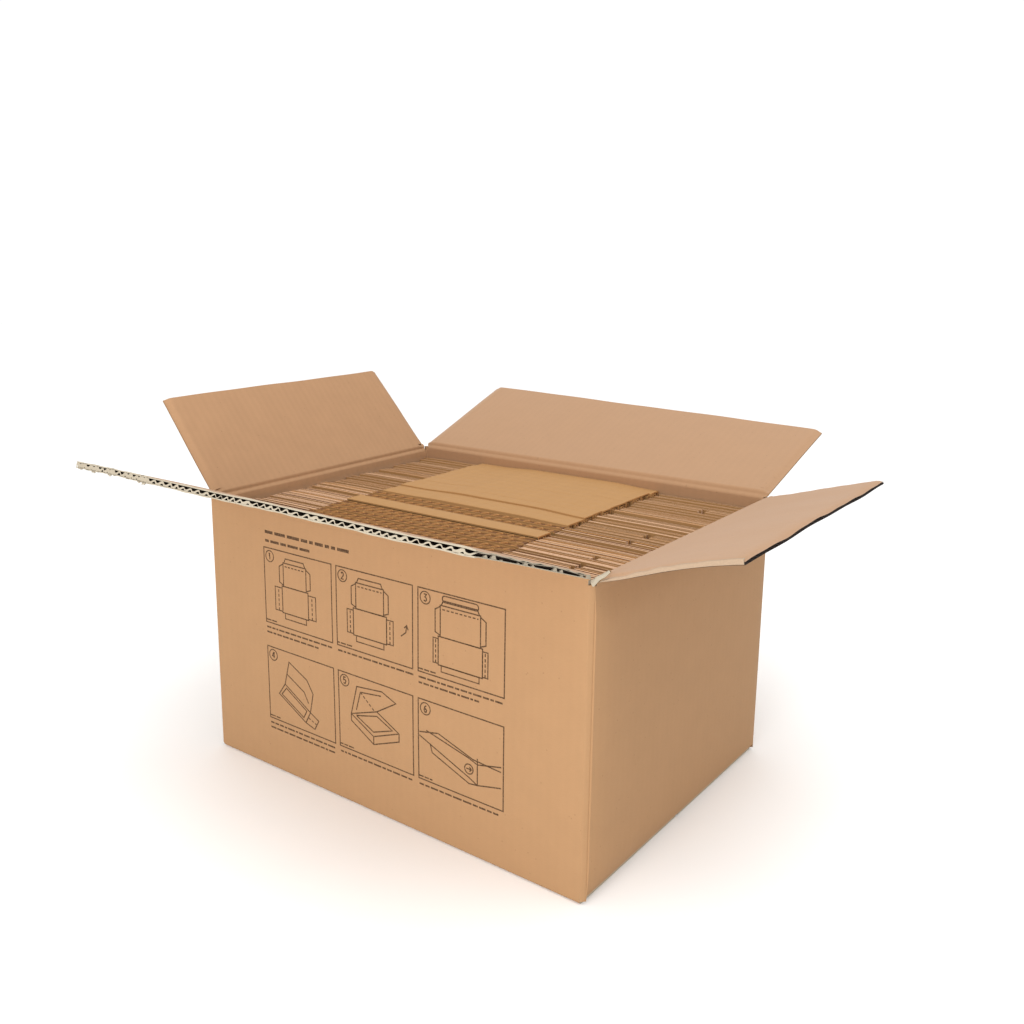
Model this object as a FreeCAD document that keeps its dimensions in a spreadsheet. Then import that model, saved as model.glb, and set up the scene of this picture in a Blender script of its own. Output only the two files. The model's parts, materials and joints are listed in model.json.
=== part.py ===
import FreeCAD, Part
import os
import Sketcher

# A slotted corrugated carton with its four top flaps open, and the pack of
# folded mailer blanks that stands in it.
#
# Frame: +Z up, origin at the middle of the base. The long walls run along X,
# and the printed front wall faces -Y. Lengths are millimetres, angles degrees.
#
# The carton is one folded and glued sheet of board: four walls, the glue tab
# that closes the tube, and the bottom flaps, which are glued shut. Each top
# flap turns about its crease, so it is a sub-part of its own. The crease axis
# lies on the outer liner. Board is crushed at a crease, so wall and flap are
# both bevelled on the inside, and meet there as a mitre when the flap is shut.

SIZES = [
    # outside of the carton, standing on its base
    ("box_length", 400.0),
    ("box_depth", 305.0),
    ("box_height", 244.0),
    # C-flute board: two flat liners with a waved medium between them
    ("board", 4.2),
    ("liner", 0.5),
    ("medium", 0.45),
    ("flute_pitch", 7.84),
    ("flute_crest", 1.2),
    # folds of the walls and of the bottom, and the glue tab
    ("corner_radius", 6.0),
    ("foot_radius", 3.4),
    ("tab_width", 35.0),
    ("tab_taper", 8.0),
    # the outer bottom flaps almost meet; the long top flaps are cut shorter
    ("seam_gap", 4.0),
    ("top_gap", 25.0),
    ("minor_flap", 109.0),
    ("major_inset", 3.5),
    ("minor_clearance", 0.4),
    # how far each flap leans out from upright
    ("front_lean", 70.0),
    ("right_lean", 71.5),
    ("back_lean", 74.0),
    ("left_lean", 40.0),
    # creases: the liner's land at the axis, and the room beside it
    ("score_land", 0.3),
    ("crease_gap", 0.3),
    # folded mailer blanks: the front ones stand loose and turned over, but for one
    ("front_mailers", 6),
    ("rear_mailers", 11),
    ("odd_one_out", 5),
    ("front_room", 131.0),
    ("mailer_board", 4.2),
    ("mailer_gap", 0.35),
    ("loose_gap", 5.0),
    ("loose_shift", 1.6),
    ("fold_radius", 1.4),
    ("mailer_side_gap", 0.2),
    ("mailer_end_gap", 2.2),
    ("mailer_head_gap", 0.4),
    ("mailer_uneven", 1.2),
    ("left_wing", 75.0),
    ("centre_panel", 204.0),
    ("wing_drop", 2.4),
    ("notch_width", 4.0),
    ("notch_depth", 16.0),
    ("end_slot_inset", 36.0),
]

# Lengths and heights that several sub-parts share.
HALF_LENGTH = "(Sizes.box_length / 2)"
HALF_DEPTH = "(Sizes.box_depth / 2)"
MAJOR_AXIS = "Sizes.box_height"
MINOR_AXIS = "(Sizes.box_height - Sizes.board - Sizes.crease_gap)"
AXIS_TO_WALL = "(Sizes.crease_gap + 2 * Sizes.score_land)"
MAJOR_FLAP = "((Sizes.box_depth - Sizes.top_gap) / 2)"
BEVEL = "(Sizes.board - Sizes.score_land)"
FLOOR_TOP = "(2 * Sizes.board)"

# The pack stands between the glue tab and the back wall, and its sides stay
# clear of the rounded folds.
PACK_FRONT = "(2 * Sizes.board + Sizes.mailer_gap - Sizes.box_depth / 2)"
PACK_BACK = "(Sizes.box_depth / 2 - Sizes.board)"
REAR_FRONT = f"({PACK_FRONT} + Sizes.front_room)"
FRONT_PITCH = "(Sizes.front_room / Sizes.front_mailers)"
REAR_PITCH = f"(({PACK_BACK} - {REAR_FRONT}) / Sizes.rear_mailers)"
MAILER_WIDTH = (
    "(Sizes.box_length - 2 * Sizes.corner_radius"
    " - Sizes.mailer_side_gap - Sizes.mailer_end_gap)"
)
MAILER_TOP = f"({MINOR_AXIS} - Sizes.board - Sizes.mailer_head_gap)"

document = FreeCAD.newDocument("carton")
sizes = document.addObject("Spreadsheet::Sheet", "Sizes")
for row, (alias, number) in enumerate(SIZES, start=1):
    sizes.set(f"A{row}", alias)
    sizes.set(f"B{row}", str(number))
    sizes.setAlias(f"B{row}", alias)
document.recompute()


# ------------------------------------------------------------------ helpers

def value(formula):
    """What a size formula comes to now."""
    return float(sizes.evalExpression(formula))


def new_body(label):
    body = document.addObject("PartDesign::Body", label)
    body.Label = label
    return body


def new_sketch(body, role, name, lift="0"):
    """A sketch on one of the body's own origin planes, or lifted off it."""
    plane = next(item for item in body.Origin.OriginFeatures if item.Role == role)
    sketch = body.newObject("Sketcher::SketchObject", f"{body.Name}_{name}")
    sketch.AttachmentSupport = [(plane, "")]
    sketch.MapMode = "FlatFace"
    sketch.setExpression("AttachmentOffset.Base.z", lift)
    return sketch


def bind(sketch, kind, where, formula):
    """Add a constraint and tie its value to the sheet."""
    index = sketch.addConstraint(Sketcher.Constraint(kind, *where, value(formula)))
    sketch.setExpression(f"Constraints[{index}]", formula)


def bind_point(sketch, edge, end, point):
    bind(sketch, "DistanceX", (edge, end), point[0])
    bind(sketch, "DistanceY", (edge, end), point[1])


def add_polygon(sketch, points):
    """A closed outline whose corners all follow the sheet."""
    spots = [FreeCAD.Vector(value(x), value(y), 0) for x, y in points]
    first = sketch.GeometryCount
    count = len(points)
    for i in range(count):
        sketch.addGeometry(Part.LineSegment(spots[i], spots[(i + 1) % count]), False)
    for i in range(count):
        following = first + (i + 1) % count
        sketch.addConstraint(Sketcher.Constraint("Coincident", first + i, 2, following, 1))
        bind_point(sketch, first + i, 1, points[i])


def add_rectangle(sketch, left, low, right, high):
    add_polygon(sketch, [(left, low), (right, low), (right, high), (left, high)])


def pad(body, sketch, name, length, backwards=False, both_ways=False):
    feature = body.newObject("PartDesign::Pad", f"{body.Name}_{name}")
    feature.Profile = sketch
    feature.Reversed = backwards
    feature.Midplane = both_ways
    feature.setExpression("Length", length)
    document.recompute()
    return feature


def pocket(body, sketch, name, length, backwards=False, both_ways=False):
    """Cut a sketch out of the body, and make sure that it did cut."""
    before = body.Shape.Volume
    feature = body.newObject("PartDesign::Pocket", f"{body.Name}_{name}")
    feature.Profile = sketch
    feature.Reversed = backwards
    feature.Midplane = both_ways
    feature.setExpression("Length", length)
    document.recompute()
    if feature.Shape.Volume >= before:
        raise RuntimeError(f"{feature.Name} removed nothing")
    return feature


def fillet(body, name, radius, wanted):
    """Round the straight edges of the body that wanted(edge) picks."""
    base = body.Tip
    names = [
        f"Edge{i}"
        for i, edge in enumerate(base.Shape.Edges, start=1)
        if wanted(edge)
    ]
    feature = body.newObject("PartDesign::Fillet", f"{body.Name}_{name}")
    feature.Base = (base, names)
    feature.setExpression("Radius", radius)
    document.recompute()
    return feature


def is_upright(edge, half_x, half_y):
    """An edge along Z at one of the four corners (+-half_x, +-half_y)."""
    box = edge.BoundBox
    at_corner = abs(abs(box.Center.x) - half_x) < 0.01 and abs(abs(box.Center.y) - half_y) < 0.01
    return at_corner and box.XLength < 0.01 and box.YLength < 0.01


# ------------------------------------------------------------------- carton

def make_carton():
    """Four walls, the glue tab and the glued bottom flaps, folded from one sheet."""
    body = new_body("carton")
    major_top = f"({MAJOR_AXIS} - {AXIS_TO_WALL})"
    minor_top = f"({MINOR_AXIS} - {AXIS_TO_WALL})"
    inner_x = f"({HALF_LENGTH} - Sizes.board)"
    inner_y = f"({HALF_DEPTH} - Sizes.board)"

    outline = new_sketch(body, "XY_Plane", "outline")
    add_rectangle(outline, f"-{HALF_LENGTH}", f"-{HALF_DEPTH}", HALF_LENGTH, HALF_DEPTH)
    pad(body, outline, "tube", major_top)
    corner = (value(HALF_LENGTH), value(HALF_DEPTH))
    fillet(body, "wall_folds", "Sizes.corner_radius", lambda edge: is_upright(edge, *corner))

    hollow = new_sketch(body, "XY_Plane", "hollow", major_top)
    add_rectangle(hollow, f"-{inner_x}", f"-{inner_y}", inner_x, inner_y)
    pocket(body, hollow, "inside", f"{major_top} - {FLOOR_TOP}")
    inner = (value(inner_x), value(inner_y))
    fillet(
        body, "inner_folds", "Sizes.corner_radius - Sizes.board",
        lambda edge: is_upright(edge, *inner),
    )

    # Between the ends of the two inner bottom flaps the floor is one board thick.
    bay_x = f"({HALF_LENGTH} - Sizes.minor_flap)"
    bay = new_sketch(body, "XY_Plane", "bay", FLOOR_TOP)
    add_rectangle(bay, f"-{bay_x}", f"-{inner_y}", bay_x, inner_y)
    pocket(body, bay, "floor_bay", "Sizes.board")

    # The two outer bottom flaps leave a seam, and end short of the side walls.
    seam = new_sketch(body, "XY_Plane", "seam")
    reach = f"({HALF_LENGTH} - Sizes.major_inset)"
    half_seam = "(Sizes.seam_gap / 2)"
    add_rectangle(seam, f"-{reach}", f"-{half_seam}", reach, half_seam)
    for near, far in ((f"-{HALF_LENGTH}", f"-{reach}"), (reach, HALF_LENGTH)):
        add_rectangle(seam, near, f"-{HALF_DEPTH}", far, HALF_DEPTH)
    pocket(body, seam, "bottom_slots", "Sizes.board", backwards=True)

    # The short walls are creased lower, so that the short flaps shut first.
    steps = new_sketch(body, "XY_Plane", "steps", major_top)
    shoulder = f"({HALF_LENGTH} - Sizes.corner_radius)"
    for near, far in ((f"-{HALF_LENGTH}", f"-{shoulder}"), (shoulder, HALF_LENGTH)):
        add_rectangle(steps, near, f"-{HALF_DEPTH}", far, HALF_DEPTH)
    pocket(body, steps, "short_wall_tops", f"{major_top} - {minor_top}")

    # Crushed board inside each top crease.
    long_score = new_sketch(body, "YZ_Plane", "long_score")
    short_score = new_sketch(body, "XZ_Plane", "short_score")
    for sketch, half, inner_face, top in (
        (long_score, HALF_DEPTH, inner_y, major_top),
        (short_score, HALF_LENGTH, inner_x, minor_top),
    ):
        land = f"({half} - Sizes.score_land)"
        for sign in ("", "-"):
            add_polygon(sketch, [
                (f"{sign}{land}", top),
                (f"{sign}{inner_face}", top),
                (f"{sign}{inner_face}", f"{top} - {BEVEL}"),
            ])
    pocket(body, long_score, "long_bevels", f"2 * {shoulder}", both_ways=True)
    pocket(body, short_score, "short_bevels", f"2 * {inner_y}", both_ways=True)

    # Glue tab: folded off the right wall and glued inside the front wall.
    tab = new_sketch(body, "XZ_Plane", "tab", inner_y)
    tab_end = f"({inner_x} - Sizes.tab_width)"
    tab_top = f"({minor_top} - {BEVEL})"
    add_polygon(tab, [
        (inner_x, FLOOR_TOP),
        (inner_x, tab_top),
        (tab_end, f"{tab_top} - Sizes.tab_taper"),
        (tab_end, f"{FLOOR_TOP} + Sizes.tab_taper"),
    ])
    pad(body, tab, "glue_tab", "Sizes.board", backwards=True)

    # Rounded folds where the walls turn under into the bottom flaps.
    long_foot = value(HALF_DEPTH)
    short_foot = value(HALF_LENGTH)
    board = value("Sizes.board")

    def is_foot(edge):
        box = edge.BoundBox
        front_or_back = abs(abs(box.Center.y) - long_foot) < 0.01 and box.XLength > long_foot
        side = abs(abs(box.Center.x) - short_foot) < 0.01 and box.YLength > long_foot
        return (front_or_back and box.ZMax < 0.01) or (side and abs(box.ZMax - board) < 0.01)

    fillet(body, "foot_folds", "Sizes.foot_radius", is_foot)
    return body


# ---------------------------------------------------------------- top flaps

def make_flap(label, quarter, width, length, reach, axis_height, lean):
    """A flap of fluted board, drawn upright over the front crease.

    It is drawn with its crease axis along X through the origin, its outer liner
    on Y = 0 and its board towards +Y. It is then moved out to its wall, leaned
    out, and turned about Z by its quarter: 0 front, 90 right, 180 back, 270 left.
    """
    body = new_body(label)
    half = f"({width} / 2)"
    outline = new_sketch(body, "XY_Plane", "outline")
    add_rectangle(outline, f"-{half}", "0", half, "Sizes.board")
    pad(body, outline, "sheet", length)

    score = new_sketch(body, "YZ_Plane", "score")
    add_polygon(score, [("Sizes.score_land", "0"), ("Sizes.board", "0"), ("Sizes.board", BEVEL)])
    pocket(body, score, "crease_bevel", width, both_ways=True)

    # One flute: an opening under the medium's crest and one over its trough.
    # The medium runs straight between flats where it is glued to the liners.
    pitch = "Sizes.flute_pitch"
    low = "Sizes.liner"
    high = "(Sizes.board - Sizes.liner)"
    rise = f"({high} - {low} - Sizes.medium)"
    run = f"({pitch} / 2 - Sizes.flute_crest)"
    # half the width across a sloping part of the medium, measured along the liner
    slope_half = f"(Sizes.medium / 2 * sqrt({rise} ^ 2 + {run} ^ 2) / {rise})"
    narrow = f"(Sizes.flute_crest / 2 - {slope_half} + Sizes.medium / 2 * {run} / {rise})"
    wide = f"({narrow} + {run})"
    flutes = f"floor(({width} - Sizes.flute_crest) / {pitch})"
    start = f"(-{pitch} * ({flutes} - 1) / 2)"
    under = f"({start} - {pitch} / 4)"
    over = f"({start} + {pitch} / 4)"
    openings = new_sketch(body, "XY_Plane", "flute", length)
    add_polygon(openings, [
        (f"{under} - {wide}", low),
        (f"{under} + {wide}", low),
        (f"{under} + {narrow}", f"{high} - Sizes.medium"),
        (f"{under} - {narrow}", f"{high} - Sizes.medium"),
    ])
    add_polygon(openings, [
        (f"{over} - {narrow}", f"{low} + Sizes.medium"),
        (f"{over} + {narrow}", f"{low} + Sizes.medium"),
        (f"{over} + {wide}", high),
        (f"{over} - {wide}", high),
    ])
    one_flute = pocket(body, openings, "first_flute", f"{length} - 2 * Sizes.board")

    row = body.newObject("PartDesign::LinearPattern", f"{label}_flutes")
    row.Originals = [one_flute]
    row.Direction = (outline, ["H_Axis"])
    row.Mode = "Spacing"
    row.setExpression("Offset", pitch)
    row.setExpression("Occurrences", flutes)
    body.Tip = row

    turn = f"placement(vector(0; 0; 0); rotation(vector(0; 0; 1); {quarter}))"
    stand = f"placement(vector(0; -{reach}; {axis_height}); rotation(vector(1; 0; 0); {lean}))"
    body.setExpression("Placement", f"{turn} * {stand}")
    document.recompute()
    return body


def make_flaps():
    long_width = "(Sizes.box_length - 2 * Sizes.major_inset)"
    short_width = "(Sizes.box_depth - 2 * (Sizes.corner_radius + Sizes.minor_clearance))"
    major = (long_width, MAJOR_FLAP, HALF_DEPTH, MAJOR_AXIS)
    minor = (short_width, "Sizes.minor_flap", HALF_LENGTH, MINOR_AXIS)
    return [
        make_flap("flap_front", 0, *major, "Sizes.front_lean"),
        make_flap("flap_right", 90, *minor, "Sizes.right_lean"),
        make_flap("flap_back", 180, *major, "Sizes.back_lean"),
        make_flap("flap_left", 270, *minor, "Sizes.left_lean"),
    ]


# ------------------------------------------------------------ mailer blanks

def make_mailer(number):
    """One blank folded in two; the turned-over ones show their cut edges on top."""
    body = new_body(f"mailer_{number:02d}")
    fronts = int(value("Sizes.front_mailers"))
    loose = number <= fronts
    turned = loose and number != value("Sizes.odd_one_out")
    pitch = FRONT_PITCH if loose else REAR_PITCH
    gap = "Sizes.loose_gap" if loose else "Sizes.mailer_gap"
    thick = f"({pitch} - {gap})"
    # the pack is uneven, in runs that repeat every five blanks
    step = 3 * number % 5 / 4
    height = f"({MAILER_TOP} - {FLOOR_TOP} - Sizes.mailer_uneven * {step})"
    half = f"({MAILER_WIDTH} / 2)"

    # Two layers joined by a narrow flat fold along the top.
    section = new_sketch(body, "YZ_Plane", "fold")
    outer = f"({thick} / 2)"
    inner = f"({outer} - Sizes.mailer_board)"
    roof = f"({height} - Sizes.mailer_board)"
    add_polygon(section, [
        (f"-{outer}", "0"), (f"-{inner}", "0"), (f"-{inner}", roof), (inner, roof),
        (inner, "0"), (outer, "0"), (outer, height), (f"-{outer}", height),
    ])
    pad(body, section, "folded_sheet", MAILER_WIDTH, both_ways=True)
    ridge = value(height)
    long_edge = value(MAILER_WIDTH) / 2
    fillet(
        body, "creases", "Sizes.fold_radius",
        lambda edge: edge.BoundBox.ZMin > ridge - 0.01 and edge.BoundBox.XLength > long_edge,
    )

    # The fold runs over the centre panel only; each wing is two loose layers.
    left = f"(Sizes.left_wing - {half})"
    right = f"({left} + Sizes.centre_panel)"
    wings = new_sketch(body, "XZ_Plane", "wings")
    for near, far in ((f"-{half}", left), (right, half)):
        add_rectangle(wings, near, f"{height} - Sizes.wing_drop", far, height)
    pocket(body, wings, "wing_tops", thick, both_ways=True)

    notches = new_sketch(body, "XZ_Plane", "notches")
    half_notch = "Sizes.notch_width / 2"
    # a slot at each end of the centre panel, and one near the right end of the cut edge
    end_slot = f"({half} - Sizes.end_slot_inset)"
    at_fold = (f"{height} - Sizes.notch_depth", height)
    at_cut = ("0", "Sizes.notch_depth")
    for middle, (low, high) in (
        (left, at_fold), (right, at_fold), (left, at_cut), (right, at_cut), (end_slot, at_cut),
    ):
        add_rectangle(notches, f"{middle} - {half_notch}", low, f"{middle} + {half_notch}", high)
    pocket(body, notches, "slots", thick, both_ways=True)

    x = f"(Sizes.corner_radius + Sizes.mailer_side_gap - {HALF_LENGTH} + {half})"
    if loose:
        # a loose blank has moved a little within its room, forward or back
        shift = f"Sizes.loose_shift * {2 * step - 1}"
        y = f"({PACK_FRONT} + {pitch} * {number - 0.5} - {gap} / 2 + {shift})"
    else:
        y = f"({REAR_FRONT} + {pitch} * {number - fronts - 0.5} - {gap} / 2)"
    z = f"({FLOOR_TOP} + {height})" if turned else FLOOR_TOP
    turn = f"rotation(vector(1; 0; 0); {180 if turned else 0})"
    body.setExpression("Placement", f"placement(vector({x}; {y}; {z}); {turn})")
    document.recompute()
    return body


# --------------------------------------------------------- build and export

sub_parts = [make_carton()]
sub_parts += make_flaps()
mailer_count = int(value("Sizes.front_mailers + Sizes.rear_mailers"))
sub_parts += [make_mailer(number) for number in range(1, mailer_count + 1)]
document.recompute()

for item in document.Objects:
    if "Invalid" in item.State or "Error" in item.State:
        raise RuntimeError(f"{item.Label} failed: {item.State}")
for part in sub_parts:
    if part.Shape.isNull() or not part.Shape.isValid() or len(part.Shape.Solids) != 1:
        raise RuntimeError(f"{part.Label} is not one valid solid")

os.makedirs("parts", exist_ok=True)
for part in sub_parts:
    part.Shape.exportStep(os.path.join("parts", f"{part.Label}.step"))
print(f"{len(sub_parts)} sub-parts written")
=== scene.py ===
import json
import math
import random

import bmesh
import bpy
import numpy as np
from bpy.props import FloatProperty, FloatVectorProperty, PointerProperty
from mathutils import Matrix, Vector


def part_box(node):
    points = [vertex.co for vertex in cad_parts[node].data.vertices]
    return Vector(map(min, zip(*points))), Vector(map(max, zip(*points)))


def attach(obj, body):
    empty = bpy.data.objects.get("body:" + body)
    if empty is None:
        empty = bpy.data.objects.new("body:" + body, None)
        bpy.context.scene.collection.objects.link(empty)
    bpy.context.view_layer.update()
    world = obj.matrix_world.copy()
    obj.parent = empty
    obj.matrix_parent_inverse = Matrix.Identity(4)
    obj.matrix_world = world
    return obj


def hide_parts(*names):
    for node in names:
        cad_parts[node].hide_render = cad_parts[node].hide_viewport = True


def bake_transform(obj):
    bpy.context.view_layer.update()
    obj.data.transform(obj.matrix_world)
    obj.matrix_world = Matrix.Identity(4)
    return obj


bl_info = {
    "name": "Corrugated carton",
    "version": (1, 0, 0),
    "blender": (4, 5, 0),
    "location": "3D View > Sidebar > Carton",
    "description": "Builds an open corrugated carton and the pack of folded blanks that stands in it",
    "category": "Add Mesh",
}

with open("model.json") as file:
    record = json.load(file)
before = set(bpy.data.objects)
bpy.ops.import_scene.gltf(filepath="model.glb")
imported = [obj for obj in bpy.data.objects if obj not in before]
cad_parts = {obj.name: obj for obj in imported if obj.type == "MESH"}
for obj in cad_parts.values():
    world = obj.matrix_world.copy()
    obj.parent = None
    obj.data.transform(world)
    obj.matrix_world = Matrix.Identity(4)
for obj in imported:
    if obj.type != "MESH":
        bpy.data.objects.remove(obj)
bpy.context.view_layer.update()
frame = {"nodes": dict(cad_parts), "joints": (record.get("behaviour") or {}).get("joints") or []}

MM = 0.001
UP = np.array([0.0, 0.0, 1.0])
SIDES = ("front", "right", "back", "left")
CARTON_TOP = np.array(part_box("carton")[1])
CREASE_HEIGHT = {joint["child"]: joint["pos_m"][2] for joint in frame["joints"]}
SHARP_EDGE = math.radians(35)
QUARTER_TURN = math.radians(90)
# a flap that is folded right back has turned this far from upright
FOLDED_BACK = 170
# how far in from a side edge a sheet is spread to make that edge flare
EDGE_REACH = 40 * MM
# points in each flute of a waved sheet
FLUTE_STEPS = 8
# points up a flap that its bends are summed over
BEND_STEPS = 600
# a blank in a wider space than this is one of those that the pack doesn't press together
WIDE_SPACE = 15.5 * MM


# ------------------------------------------------------------------ settings

def linear(colour):
    """An sRGB colour such as "#A08060" as linear red, green and blue."""
    parts = [int(colour[i:i + 2], 16) / 255 for i in (1, 3, 5)]
    return [c / 12.92 if c <= 0.04045 else ((c + 0.055) / 1.055) ** 2.4 for c in parts]


def length(name, description, millimetres):
    return FloatProperty(
        name=name, description=description, default=millimetres * MM,
        unit="LENGTH", subtype="DISTANCE", precision=5,
    )


def angle(name, description, degrees):
    return FloatProperty(
        name=name, description=description, default=math.radians(degrees),
        unit="ROTATION", subtype="ANGLE",
    )


def colour(name, description, value):
    return FloatVectorProperty(
        name=name, description=description, default=linear(value), subtype="COLOR", size=3,
        min=0, max=1,
    )


def spot(name, description, place):
    return FloatVectorProperty(
        name=name, description=description, default=place, subtype="TRANSLATION", unit="LENGTH",
    )


class CartonBoard(bpy.types.PropertyGroup):
    """The corrugated board of the carton."""

    thickness: length("Board", "Thickness of the board", 4.2)
    liner: length("Liner", "Thickness of one flat liner", 0.5)
    medium: length("Medium", "Thickness of the waved sheet between the liners", 0.5)
    flute_pitch: length("Flute pitch", "From one flute to the next", 7.84)


class CartonWalls(bpy.types.PropertyGroup):
    """The folded tube of the carton and its bottom."""

    fold_width: length("Fold width", "How far an upright fold reaches along each of its walls", 3.6)
    foot_radius: length("Foot radius", "Outer radius of the folds under the walls", 3.4)
    foot_height: length("Foot height", "Height at which a wall starts to turn under", 10)
    bulge: length("Bulge", "How far the pack pushes the middle of a wall out", 0.8)
    near_bulge: length("Near bulge", "How far the right wall stands out beside the near fold", 4.5)
    near_ease: length("Near ease", "Width over which the right wall comes out to that", 10)
    near_taper: length("Near taper", "Height under the crease over which it comes out", 30)
    seam_gap: length("Seam gap", "Gap between the two outer bottom flaps", 4)
    inner_flap: length("Inner bottom flap", "Length of the short bottom flaps", 109)
    tab_width: length("Glue tab", "Width of the tab glued inside the front wall", 35)
    tab_taper: length("Tab taper", "How much the glue tab narrows at each end", 8)


class CartonCreases(bpy.types.PropertyGroup):
    """The creases that the top flaps turn on."""

    reach: length("Reach", "Height of sheet on each side of a crease that belongs to it", 6)
    turn: length("Turn", "Height of sheet on each side of the crease that bends", 2)
    crush_depth: length("Crush depth", "How much thinner the board is in a crease", 1.8)
    crush_width: length("Crush width", "Half the width of the groove in a crease", 1.1)
    fold_gap: length("Fold gap", "How far an upright fold ends below the crease", 0.7)
    near_gap: length("Near gap", "How far the near fold ends below it, where it has torn", 4)


class CartonFlaps(bpy.types.PropertyGroup):
    """How the top flaps are bent, twisted and worn."""

    right_twist: angle("Right twist", "How much further out the right flap's far end leans", 1.1)
    back_twist: angle("Back twist", "How much more upright the back flap's left end is", 5.2)
    cut_short: length("Cut short", "How much shorter a flap is cut than its space", 1.3)
    curl: angle("Curl", "How much a flap bends on between its crease and its edge", 2)
    right_curl: angle("Right curl", "How much more the near end of the right flap bends on", 13)
    wobble: length("Wobble", "Height of the long waves in a flap", 0.6)
    pinch_width: length("Pinch width", "Width of the squeezed board along a side edge", 4)
    frayed_liner: length("Frayed liner", "Thickness of a liner where its cut edge has frayed", 1.1)
    frayed_medium: length("Frayed medium", "Thickness of the medium where its cut edge has frayed", 1.15)
    fray_depth: length("Fray depth", "How far the fraying goes in from a cut edge", 3)
    fray_proud: length("Fray height", "How far a frayed liner stands off the board", 0.6)
    # the plug is a near black sheet: painted shade in the flute openings of the right flap's tip
    plug_depth: length("Plug depth", "How far in the dark of a crushed cut edge starts", 1.2)
    roll_bulge: length("Roll bulge", "How far the liner rolled over a side edge stands out", 1.1)
    root_flare: length("Root flare", "How much wider each end of a flap is at its crease", 1.4)
    root_lift: length("Root lift", "How far above its axis a short flap bends", 1.5)
    root_settle: length("Root settle", "Length over which it comes back to its own plane", 50)
    tip_depth: length("Tip depth", "How far the squeezed board goes in from a squeezed long edge", 5)


class CartonBlanks(bpy.types.PropertyGroup):
    """The folded mailer blanks."""

    thickness: length("Board", "Thickness of one layer of a blank", 3.4)
    loose_thickness: length("Loose board", "Thickness of one layer of a loosely packed blank", 8.0)
    swell: length("Swell", "How far a loosely packed blank swells past each side of its space", 0.8)
    liner: length("Liner", "Thickness of one flat liner", 0.6)
    medium: length("Medium", "Thickness of the waved sheet between the liners", 1.1)
    flute_pitch: length("Flute pitch", "From one flute to the next", 11)
    flute_depth: length("Flute depth", "How deep a flute opening is before glue closes it", 1.3)
    fold_sheet: length("Fold sheet", "Thickness of the pressed board over the fold", 1.2)
    fold_radius: length("Fold radius", "Radius of the two edges of a fold that is pressed to the next", 0.12)
    fold_level: length("Fold level", "Height that most folds are pressed down to", 234.8)
    fold_drop: length("Fold depth", "How far the fold comes down each face", 18)
    left_reach: length("Left reach", "How far the left wings reach past their space to the wall", 1.6)
    left_wing: length("Left wing", "Width of the left wing", 75)
    centre_panel: length("Centre panel", "Width between the wings", 212)
    wing_drop: length("Wing drop", "How much lower a wing is than the fold", 0.6)
    wing_uneven: length("Uneven wings", "How much lower still a layer of a wing may be", 1.3)
    end_drop: length("End drop", "How much lower a wing is where it meets the wall", 0.7)
    end_length: length("End length", "Length of the wing over which it drops", 40)
    crown: length("Crown", "How far the folds bow up between the shut short flaps", 1.8)
    crown_half: length("Crown half", "Half the space between the shut short flaps", 91)
    crown_start: length("Crown start", "Where the bow starts, from the middle of the carton", -60)
    crown_depth: length("Crown depth", "Depth over which the bow grows from the front folds", 90)
    open_joint: length("Open joint", "Radius of a fold beside which a gap shows", 0.8)
    notch_width: length("Notch width", "Width of a slot, before it closes up or opens", 2.4)
    shut_slot: length("Shut slot", "Width of a slot that the pack has pushed shut", 0.3)
    notch_shift: length("Notch shift", "How far a blank's slots may be off their place", 1.3)
    notch_depth: length("Notch depth", "Depth of a slot", 16)
    end_slot_inset: length("End slot inset", "From the right end to the slot near it", 36)
    end_slot_width: length("End slot width", "Width of the slot near the right end", 5)
    corner_width: length("Corner width", "Width of the cut in a blank's left corner", 5)
    corner_cut: length("Corner cut", "Depth of that cut at most", 6)
    ply: length("Ply", "Width of one streak of crushed flutes in a wing's edge", 1.7)
    ply_drop: length("Ply drop", "How far in a streak may end", 0.9)


class CartonPrint(bpy.types.PropertyGroup):
    """The line print on the front wall."""

    line: length("Line", "Width of a printed line", 1.05)
    film: length("Ink film", "How far the ink stands off the liner", 0.06)
    frame_width: length("Frame width", "Width of one picture frame", 82)
    frame_height: length("Frame height", "Height of one picture frame", 68)
    first_frame: length("First frame", "Left edge of the first frame from the wall's middle", -128)
    frame_step: length("Frame step", "From one frame to the next along the wall", 87.5)
    upper_row: length("Upper row", "Height of the bottom of the upper frames", 140)
    lower_row: length("Lower row", "Height of the bottom of the lower frames", 49.5)
    badge: length("Badge", "Radius of the ring round a frame's number", 5)


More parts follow.
